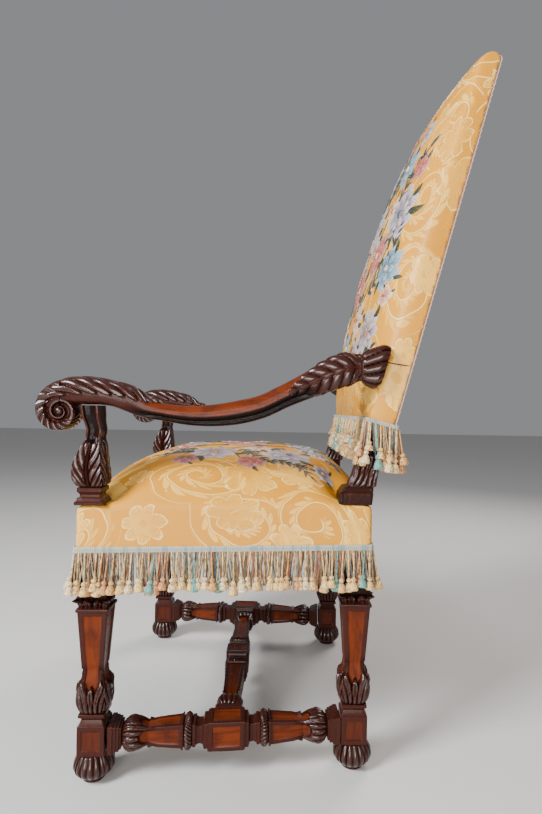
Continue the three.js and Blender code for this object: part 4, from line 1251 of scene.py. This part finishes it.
def fringe_tree(name):
    """Nodes that hang cords or tassels along a path. The path runs anticlockwise, seen from above."""
    tree = bpy.data.node_groups.new(name, "GeometryNodeTree")
    kinds = {"Geometry": "Geometry", "Hanging piece": "Object", "Finish": "Material", "Seed": "Int"}
    kinds.update((label, "Float") for label in hanging_figures)
    sockets = {}
    for label, kind in kinds.items():
        made = tree.interface.new_socket(name=label, in_out="INPUT", socket_type=f"NodeSocket{kind}")
        sockets[label] = made.identifier
    tree.interface.new_socket(name="Geometry", in_out="OUTPUT", socket_type="NodeSocketGeometry")
    given = tree.nodes.new("NodeGroupInput").outputs

    def add(kind, values, settings=None, output=0):
        made = tree.nodes.new(kind)
        for key, value in (settings or {}).items():
            setattr(made, key, value)
        for key, value in values.items():
            if isinstance(value, bpy.types.NodeSocket):
                tree.links.new(value, made.inputs[key])
            else:
                made.inputs[key].default_value = value
        return made.outputs[output]

    def maths(operation, first, second):
        return add("ShaderNodeMath", {0: first, 1: second}, {"operation": operation})

    def chance(low, high, step):
        values = {2: low, 3: high, "Seed": maths("ADD", given["Seed"], float(step))}
        return add("FunctionNodeRandomValue", values, {"data_type": "FLOAT"}, 1)

    def turned(rotation, angles):
        turn = add("FunctionNodeEulerToRotation", {"Euler": add("ShaderNodeCombineXYZ", angles)})
        return add("FunctionNodeRotateRotation", {0: rotation, 1: turn}, {"rotation_space": "LOCAL"})

    line = add("GeometryNodeMeshToCurve", {"Mesh": given["Geometry"]})
    spacing = {"Curve": line, "Length": given["Pitch"]}
    points = add("GeometryNodeCurveToPoints", spacing, {"mode": "LENGTH"}, "Points")
    tangent = {"Vector": points.node.outputs["Tangent"]}
    aim = add("FunctionNodeAlignRotationToVector", tangent, {"axis": "X", "pivot_axis": "Z"})
    sway = maths("MULTIPLY", given["Sideways sway"], chance(-1.0, 1.0, 1))
    spread = maths("MULTIPLY", given["Lean spread"], chance(-1.0, 1.0, 2))
    lean = maths("MULTIPLY", maths("ADD", given["Outward lean"], spread), -1.0)
    leaning = turned(aim, {"X": lean, "Y": sway})
    length = chance(given["Shortest"], given["Longest"], 4)
    values = {
        "Points": points,
        "Instance": add("GeometryNodeObjectInfo", {0: given["Hanging piece"]}, output="Geometry"),
        "Rotation": turned(leaning, {"Z": chance(0.0, 6.28, 3)}),
        "Scale": add("ShaderNodeCombineXYZ", {"X": 1.0, "Y": 1.0, "Z": length}),
    }
    hung = add("GeometryNodeInstanceOnPoints", values)
    dye = {"Geometry": hung, "Name": "dye", "Value": chance(0.0, 1.0, 5)}
    dyed = add("GeometryNodeStoreNamedAttribute", dye, {"data_type": "FLOAT", "domain": "INSTANCE"})
    real = add("GeometryNodeRealizeInstances", {"Geometry": dyed})
    coloured = add("GeometryNodeSetMaterial", {"Geometry": real, "Material": given["Finish"]})
    tree.links.new(coloured, tree.nodes.new("NodeGroupOutput").inputs[0])
    return tree, sockets


def rough_object(name, points, edges=(), faces=()):
    data = bpy.data.meshes.new(name)
    data.from_pydata([tuple(np.array(point) * mm) for point in points], edges, faces)
    data.polygons.foreach_set("use_smooth", np.ones(len(data.polygons), bool))
    made = bpy.data.objects.new(name, data)
    collection.objects.link(made)
    return made


def hanging_form(name, profiles):
    """A small closed turned form that hangs from the origin. A profile is its rows, each a depth and a
    radius, and its number of sides. A wide head is ribbed."""
    points, faces = [], []
    for rows, around in profiles:
        first = len(points)
        for depth, radius in rows:
            for k in range(around):
                angle = 2 * math.pi * k / around
                ribbed = radius * (1.22 if k % 2 and radius > 3.5 else 1)
                points.append((ribbed * math.cos(angle), ribbed * math.sin(angle), -depth))
        for i in range(len(rows) - 1):
            for k in range(around):
                a, b = first + i * around + k, first + i * around + (k + 1) % around
                faces.append((a, a + around, b + around, b))
        faces.append(tuple(first + k for k in range(around)))
        faces.append(tuple(first + (len(rows) - 1) * around + k for k in reversed(range(around))))
    return rough_object(name, points, faces=faces)


def fringe_silk(name, stops):
    finish = Finish(name, Sheen_Weight=0.2, Specular_IOR_Level=0.35)
    colour = finish.ramp(finish.attribute("dye"), stops, "CONSTANT")
    ply = finish.noise(finish.stretched((700, 700, 160)), 1, 2)
    # Painted shade in the gaps between the plies of the cords and tassels.
    colour = finish.mix(finish.step(ply, 0.42, 0.68) * 0.85, colour, shade_between_plies)
    return finish.surface(colour, 0.5 + 0.2 * ply, ply, 0.8, 0.0008)


cord_dyes = [(0.0, (0.44, 0.275, 0.125)), (0.18, (0.272, 0.14, 0.057)), (0.36, (0.16, 0.161, 0.132))]
cord_dyes += [(0.50, (0.176, 0.073, 0.027)), (0.62, (0.42, 0.33, 0.22)), (0.74, (0.08, 0.14, 0.144))]
cord_dyes += [(0.84, (0.352, 0.119, 0.06)), (0.92, (0.46, 0.31, 0.155))]
tassel_dyes = [(0.0, (0.781, 0.504, 0.182)), (0.28, (0.837, 0.605, 0.294)), (0.50, (0.67, 0.353, 0.098))]
tassel_dyes += [(0.68, (0.818, 0.638, 0.378)), (0.80, (0.13, 0.353, 0.315)), (0.90, (0.614, 0.277, 0.105))]
cord_silk, tassel_silk = fringe_silk("cord_silk", cord_dyes), fringe_silk("tassel_silk", tassel_dyes)

heading = Finish("heading_silk", Sheen_Weight=0.2, Specular_IOR_Level=0.35)
threads = heading.noise(heading.stretched((500, 500, 900)), 1, 2)
ribbed = heading.step(0.5 * threads + 0.8 * heading.attribute("relief"), 0.35, 0.95)
heading_colour = heading.mix(ribbed, heading_blue, heading_pale)
heading_colour = heading.mix(0.45 * heading.attribute("panel"), heading_colour, selvedge_pale)
blocks = heading.noise(heading.stretched((95, 95, 0)), 1, 2)
heading_colour = heading.mix(heading.step(blocks, 0.50, 0.58) * 0.55, heading_colour, heading_blue)
heading_silk = heading.surface(heading_colour, 0.55 + 0.15 * threads, threads, 0.5, 0.0006)


def closed_ring(corners, step):
    """Evenly spaced points on a closed line through corners, and the level direction outwards at each."""
    corners = np.array(corners, float)
    points, outs = [], []
    for start, end in zip(corners, np.roll(corners, -1, axis=0)):
        length = np.linalg.norm(end - start)
        out = np.cross((end - start) / length, (0, 0, 1))
        count = max(2, int(length / step))
        t = (np.arange(count) + 0.5) / count
        points.append(start + (end - start) * t[:, None])
        outs.append(np.tile(out / np.linalg.norm(out), (count, 1)))
    points, outs = np.concatenate(points), np.concatenate(outs)
    for _ in range(2):
        outs = (np.roll(outs, 1, axis=0) + 2 * outs + np.roll(outs, -1, axis=0)) / 4
    return points, outs


def woven_heading(name, corners, height, thickness):
    """A band of twill with a rope along both its edges, round a closed line through corners."""
    path, outs = closed_ring(corners, 1.4)
    weave = np.r_[0, np.cumsum(np.linalg.norm(np.diff(path, axis=0), axis=1))][:, None]
    around = np.linspace(0, 2 * np.pi, 13)[:-1]
    a, b = (np.sign(wave) * np.abs(wave) ** 0.5 for wave in (np.sin(around), np.cos(around)))
    twill = np.sin(2 * np.pi * (weave / 3.4 + 1.1 * np.abs(b)))
    rope = bump(0.82, 0.16, np.abs(b)) * (0.6 + 0.4 * np.sin(2 * np.pi * (weave / 2.8 + b)))
    out = thickness / 2 * (1 + a) + (a > 0) * (0.35 * twill + 0.7 * rope)
    points = path[:, None] + outs[:, None] * out[..., None]
    points[..., 2] -= height / 2 * (1 - b)
    index = np.arange(twill.size).reshape(twill.shape)
    after, ahead = np.roll(index, -1, axis=1), np.roll(index, -1, axis=0)
    quads = np.stack([index, after, np.roll(after, -1, axis=0), ahead], -1).reshape(-1, 4)
    selvedge = (np.abs(b) > 0.7) + 0 * twill
    shares = (("relief", (0.5 + 0.5 * twill).ravel()), ("panel", selvedge.ravel()))
    return new_piece(name, points.reshape(-1, 3), quads, heading_silk, shares, crease=180)


def hang(name, path, form, silk, figures, seed):
    """Runs the fringe nodes along a closed path and keeps the result as a plain mesh."""
    count = len(path)
    line = rough_object(name, path, [(i, (i + 1) % count) for i in range(count)])
    modifier = line.modifiers.new("fringe", "NODES")
    modifier.node_group = fringe_nodes
    values = {"Hanging piece": form, "Finish": silk, "Seed": seed, **dict(zip(hanging_figures, figures))}
    for label, value in values.items():
        modifier[fringe_sockets[label]] = value
    made = bpy.data.meshes.new_from_object(line.evaluated_get(bpy.context.evaluated_depsgraph_get()))
    line.modifiers.clear()
    line.data = made
    made.polygons.foreach_set("use_smooth", np.ones(len(made.polygons), bool))
    finished(line)


def fringe(node, corners, height, thickness, hangings):
    """A heading round a closed line, and what hangs from it. A row of hangings has the end of its name, its
    way out, its form and silk, its figures and its seed."""
    finished(woven_heading(f"{node}_heading", corners, height, thickness), node)
    path, outs = closed_ring(corners, 4)
    for end, out, form, silk, pitch, *figures, seed in hangings:
        hem = path + outs * out - (0, 0, height - 1)
        hang(f"{node}_{end}", hem, form, silk, [pitch * mm, *figures], seed)


fringe_nodes, fringe_sockets = fringe_tree("hanging_fringe")
cord_form = hanging_form("cord_form", [([(0, 1.15), (14, 1.4), (30, 1.2), (46, 1.4), (58, 1.0)], 5)])
tassel_cord = [(0, 1.2), (20, 1.3), (50, 1.5)]
tassel_bead = [(46, 0.9), (47.5, 3.4), (50.5, 4.5), (53.5, 3.4), (55, 2.2)]
tassel_skirt = [(54.4, 2.3), (56, 4.4), (60, 5.8), (66, 7.2), (68.5, 6.6), (69.5, 4.0)]
tassel_form = hanging_form("tassel_form", [(tassel_cord, 5), (tassel_bead, 8), (tassel_skirt, 12)])

heading_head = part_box("seat_fringe")[1].z / mm + 3
seat_ring = [
    (way * (seat_half(y) + stand_off), y + end * (stand_off + 1), heading_head)
    for way, y, end in ((-1, seat_front, -1), (1, seat_front, -1), (1, seat_back, 1), (-1, seat_back, 1))
]
seat_hangings = (
    ("cords", 2.2, cord_form, cord_silk, cord_pitch, 0.17, 0.07, 0.07, 0.88, 1.04, 11),
    ("back_cords", 0.6, cord_form, cord_silk, cord_pitch * 1.3, 0.2, 0.02, 0.06, 0.84, 1.0, 12),
    ("tassels", 3.0, tassel_form, tassel_silk, tassel_pitch, 0.12, 0.10, 0.07, 0.86, 1.02, 13),
)
fringe("seat_fringe", seat_ring, heading_height, 3.2, seat_hangings)

# Back upholstery: a tall raked pad over a frame of two beech rails between the stiles. The same damask
# covers its domed front, its sides and its flat rear, with a thin cord sewn along the rear edge.
back_behind_post = 61.5
back_foot = post_place("left") * (0, 1, 0) + (0, back_behind_post, back_foot_height)
back_up = np.array([0, math.sin(back_rake), math.cos(back_rake)])
back_out = np.array([0, -math.cos(back_rake), math.sin(back_rake)])
back_half, back_crown = 268.5, 52
foot_thickness, head_thickness = 48, 38
back_cloth_offset = (700, 300)


def back_place(x, along, out):
    x, along, out = (np.asarray(value)[..., None] for value in np.broadcast_arrays(x, along, out))
    return back_foot + x * (1, 0, 0) + along * back_up + out * back_out


def back_front(x, along):
    """How far the front of the pad stands out of its rear face."""
    row = np.clip(2 * along / back_length - 1, -1, 1)
    column = np.clip(x / back_half, -1, 1)
    base = np.interp(along, [0, back_length], [foot_thickness - 3, head_thickness - 3])
    base = base * (1 - smooth(back_length - 26, back_length + 4, along) * 0.86)
    crown = ((1 - np.abs(column) ** 2.6) * (1 - np.abs(row) ** 2.6)) ** 0.72
    return base + back_crown * crown


def back_slack(points):
    return 0.8 + 6.5 * smooth(30, 62, (points - back_foot) @ back_out)


def back_drawn(points):
    x = points[:, 0]
    inside = back_half - np.abs(x)
    out = (points - back_foot) @ back_out
    pull = np.clip(inside + 1, 0, 4) * smooth(16, 6, inside) * smooth(46, 20, out)
    return points + (np.sign(x) * pull)[:, None] * (1, 0, 0)


def back_chart(points, normals):
    local = points - back_foot
    x, along, out = points[:, 0], local @ back_up, local @ back_out
    fall = np.maximum(0, back_front(0 * x, along) - out)
    chart = np.stack([along, x + np.sign(x) * fall], -1)
    rear = (normals @ back_out) < -0.7
    chart[rear, 1] = x[rear]
    ends = (np.abs(normals @ back_up) > 0.75) & (out < foot_thickness)
    chart[ends, 0] = (along + out)[ends]
    chart[ends, 1] = x[ends]
    return chart + back_cloth_offset


rows_along = (spaced(61)[:, None] + 1) / 2 * (back_length - 6) + 2
columns_x = spaced(53) * back_half
front_sheet = back_place(columns_x, rows_along, back_front(columns_x, rows_along))
rear_sheet = back_place(columns_x, rows_along, 1.5 + 10 * smooth(back_length - 24, back_length, rows_along))
back_sheets = (front_sheet, rear_sheet)
back = cushion("back_cushion", back_sheets, back_slack, back_drawn, back_chart, (damask,), "back_upholstery")

# Edge cord of the back: a twisted rose-coloured silk cord, sewn along the two sides and the head.
cord_step = 2.2
ply_length = 3.4
cord_side = [(-back_half - 1.1, along, 0.6) for along in np.arange(6, back_length - 14, cord_step)]
cord_side += [(-back_half + 8, back_length - 9, 4.0)]
cord_head = [(x, back_length - 7, 5.5) for x in np.arange(-back_half + 14, back_half - 13, cord_step)]
cord_path = cord_side + cord_head + [(-x, along, out) for x, along, out in reversed(cord_side)]
cord_line = back_place(*eased(np.array(cord_path, float), 8).T)


def unit(vectors):
    return vectors / np.linalg.norm(vectors, axis=1, keepdims=True)


run = unit(np.gradient(cord_line, axis=0))
beside = unit(np.cross(run, back_out))
over = np.cross(beside, run)
travel = np.cumsum(np.r_[0, np.linalg.norm(np.diff(cord_line, axis=0), axis=1)])[:, None]
turn = np.linspace(0, 2 * np.pi, 9)[:-1]
ply = np.abs(np.sin(turn + travel / ply_length))
radius = (1.0 + 0.4 * ply)[..., None]
round_way = np.cos(turn)[:, None] * beside[:, None] + np.sin(turn)[:, None] * over[:, None]
cord_points = cord_line[:, None] + radius * round_way
dyed = Finish("rose_cord_silk", Sheen_Weight=0.15, Specular_IOR_Level=0.35)
# Painted shade: the cord is darker in the furrows between its plies, where its relief share is low.
ply_furrow_shade = dyed.step(dyed.attribute("relief"), 0.1, 0.8)
rose_colour = dyed.mix(ply_furrow_shade, (0.22, 0.085, 0.060), (0.60, 0.32, 0.22))
rose_silk = dyed.surface(rose_colour, 0.5 + 0.1 * ply_furrow_shade)
shells_to_piece("back_edge_cord", [(cord_points[::-1], ply[::-1], 0 * ply)], rose_silk)

# Embroidery of the back: the same needlework as on the seat, as one tall bouquet that fills its front.
tall = Needlework(laid_on(back, lambda p, q: back_place(p, q, 200.0), -back_out))
for way in (1, -1):
    stems = (
        (3, moss, [(4, 70), (30, 160), (80, 230), (150, 300), (190, 380)]),
        (3, bottle, [(10, 220), (60, 330), (110, 420), (150, 520)]),
        (2.6, moss, [(4, 380), (40, 470), (60, 560), (40, 620)]),
    )
    flowers = (
        (178, 395, 50, 8, lavender, silver, blue, {"turn": 0.3 * way}),
        (196, 285, 40, 6, blue, sky, silver, {"turn": 0.4}),
        (176, 165, 46, 9, mauve, silver, ochre, {}),
        (108, 330, 44, 7, coral, rose, cream, {"rings": 3}),
        (128, 505, 40, 7, blue, sky, cream, {"turn": 0.2}),
        (70, 590, 32, 6, coral, rose, ochre, {}),
        (78, 200, 38, 7, rose, cream, coral, {}),
        (206, 480, 24, 5, coral, rose, ochre, {}),
        (40, 110, 22, 5, blue, sky, ochre, {"rings": 1}),
        (215, 230, 20, 5, rose, cream, coral, {"rings": 1}),
        (62, 356, 26, 6, mauve, silver, ochre, {"turn": 0.6}),
        (120, 420, 28, 6, rose, cream, coral, {"turn": 0.2}),
        (116, 130, 28, 6, lavender, silver, ochre, {}),
        (170, 560, 24, 5, mauve, silver, ochre, {"turn": 0.5}),
    )
    sprays = (
        (150, 430, 1.2, 4, 30, bottle, moss, -0.5),
        (120, 250, 0.4, 4, 30, bottle, moss, 0.6),
        (60, 470, 0.9, 4, 28, bottle, teal, 0.5),
        (60, 130, -0.1, 4, 28, bottle, moss, 0.5),
        (150, 350, 0.5, 3, 26, bottle, moss, 0.5),
        (20, 470, 1.4, 3, 24, bottle, moss, -0.5),
        (40, 200, 0.7, 3, 26, bottle, teal, 0.5),
        (150, 110, 0.1, 3, 24, bottle, moss, 0.4),
    )
    tall.half_bouquet(way, stems, flowers, sprays)
    tall.spray((way * 195, 330), 1.6, 3, 24, bottle, teal, -0.4 * way)
    tall.spray((way * 40, 560), 1.5, 3, 26, moss, teal, 0.4 * way)
tall.flower((0, 420), 58, 9, mauve, silver, ochre, rings=3)
tall.flower((0, 280), 50, 8, coral, rose, cream, rings=3)
tall.flower((0, 540), 38, 6, lavender, silver, blue)
tall.flower((0, 150), 34, 6, blue, sky, cream)
tall.sewn("back_embroidery", floss)

# Slits in the cover of the back, one at each arm's knob: a dark patch of painted shade where the silk has
# parted.
slit_shadow_colour = (0.010, 0.005, 0.003)
slit_foot, slit_length, slit_width = (190, 698), 50, 2.4
for side, sign in sides:
    slit = Needlework(laid_on(back, lambda p, q: (sign * 400, p, q), (-sign, 0, 0)))
    wide = sign * slit_width
    slit.patch(slit_foot, -0.19, slit_length, wide, slit_shadow_colour, slit_shadow_colour, 0.2, 0.1, rim=slit_shadow_colour)
    slit.sewn(f"back_cover_slit_{side}", floss)

# Back fringe: the same heading, cords and tassels, along the lower edge of the back, with tassels in longer
# and shorter lengths that overlap.
ring_half, ring_rise = back_half + 4, 10
back_ring = [
    back_place(x, ring_rise, out)
    for x, out in (
        (-ring_half, foot_thickness + 2),
        (ring_half, foot_thickness + 2),
        (ring_half, -2),
        (-ring_half, -2),
    )
]
back_hangings = (
    ("cords", 2.0, cord_form, cord_silk, cord_pitch, 0.14, 0.05, 0.07, 0.75, 1.1, 21),
    ("tassels", 2.8, tassel_form, tassel_silk, tassel_pitch * 1.3, 0.07, 0.10, 0.06, 0.98, 1.16, 22),
    ("short_tassels", 3.6, tassel_form, tassel_silk, tassel_pitch * 1.9, 0.07, 0.12, 0.05, 0.68, 0.9, 23),
)
fringe("back_fringe", back_ring, heading_height * 0.7, 3.0, back_hangings)
for form in (cord_form, tassel_form):
    bpy.data.objects.remove(form)

# Floor and light: a plain pale floor under soft studio light, which belong to the studio and not the chair.
floor_half = 14000
paper = Finish("studio_paper").surface((0.62, 0.60, 0.58, 1), 0.75)
floor_corners = [(x * floor_half, y * floor_half, 0) for x, y in ((-1, -1), (1, -1), (1, 1), (-1, 1))]
floor = new_piece("studio_floor", floor_corners, [(0, 1, 2, 3)], paper)

world = bpy.data.worlds.new("studio")
world.use_nodes = True
daylight = world.node_tree.nodes["Background"].inputs
daylight["Color"].default_value = (0.86, 0.88, 0.92, 1)
daylight["Strength"].default_value = 0.30
bpy.context.scene.world = world


def soft_light(name, place, aim, size, power, colour):
    data = bpy.data.lights.new(name, "AREA")
    data.shape = "RECTANGLE"
    data.size, data.size_y = size
    data.energy = power
    data.color = colour
    light = bpy.data.objects.new(name, data)
    light.location = place
    light.rotation_euler = (Vector(aim) - Vector(place)).to_track_quat("-Z", "Y").to_euler()
    collection.objects.link(light)


soft_light("window", (1.7, -2.1, 2.2), (0, 0, 0.6), (1.0, 1.2), 195, (0.94, 0.97, 1.0))
soft_light("near_fill", (2.5, -0.3, 0.8), (0, 0, 0.45), (1.5, 1.0), 52, (1.0, 0.97, 0.93))
soft_light("far_rim", (-1.8, 1.2, 2.2), (0, 0, 0.8), (1.2, 1.2), 50, (1.0, 0.96, 0.92))
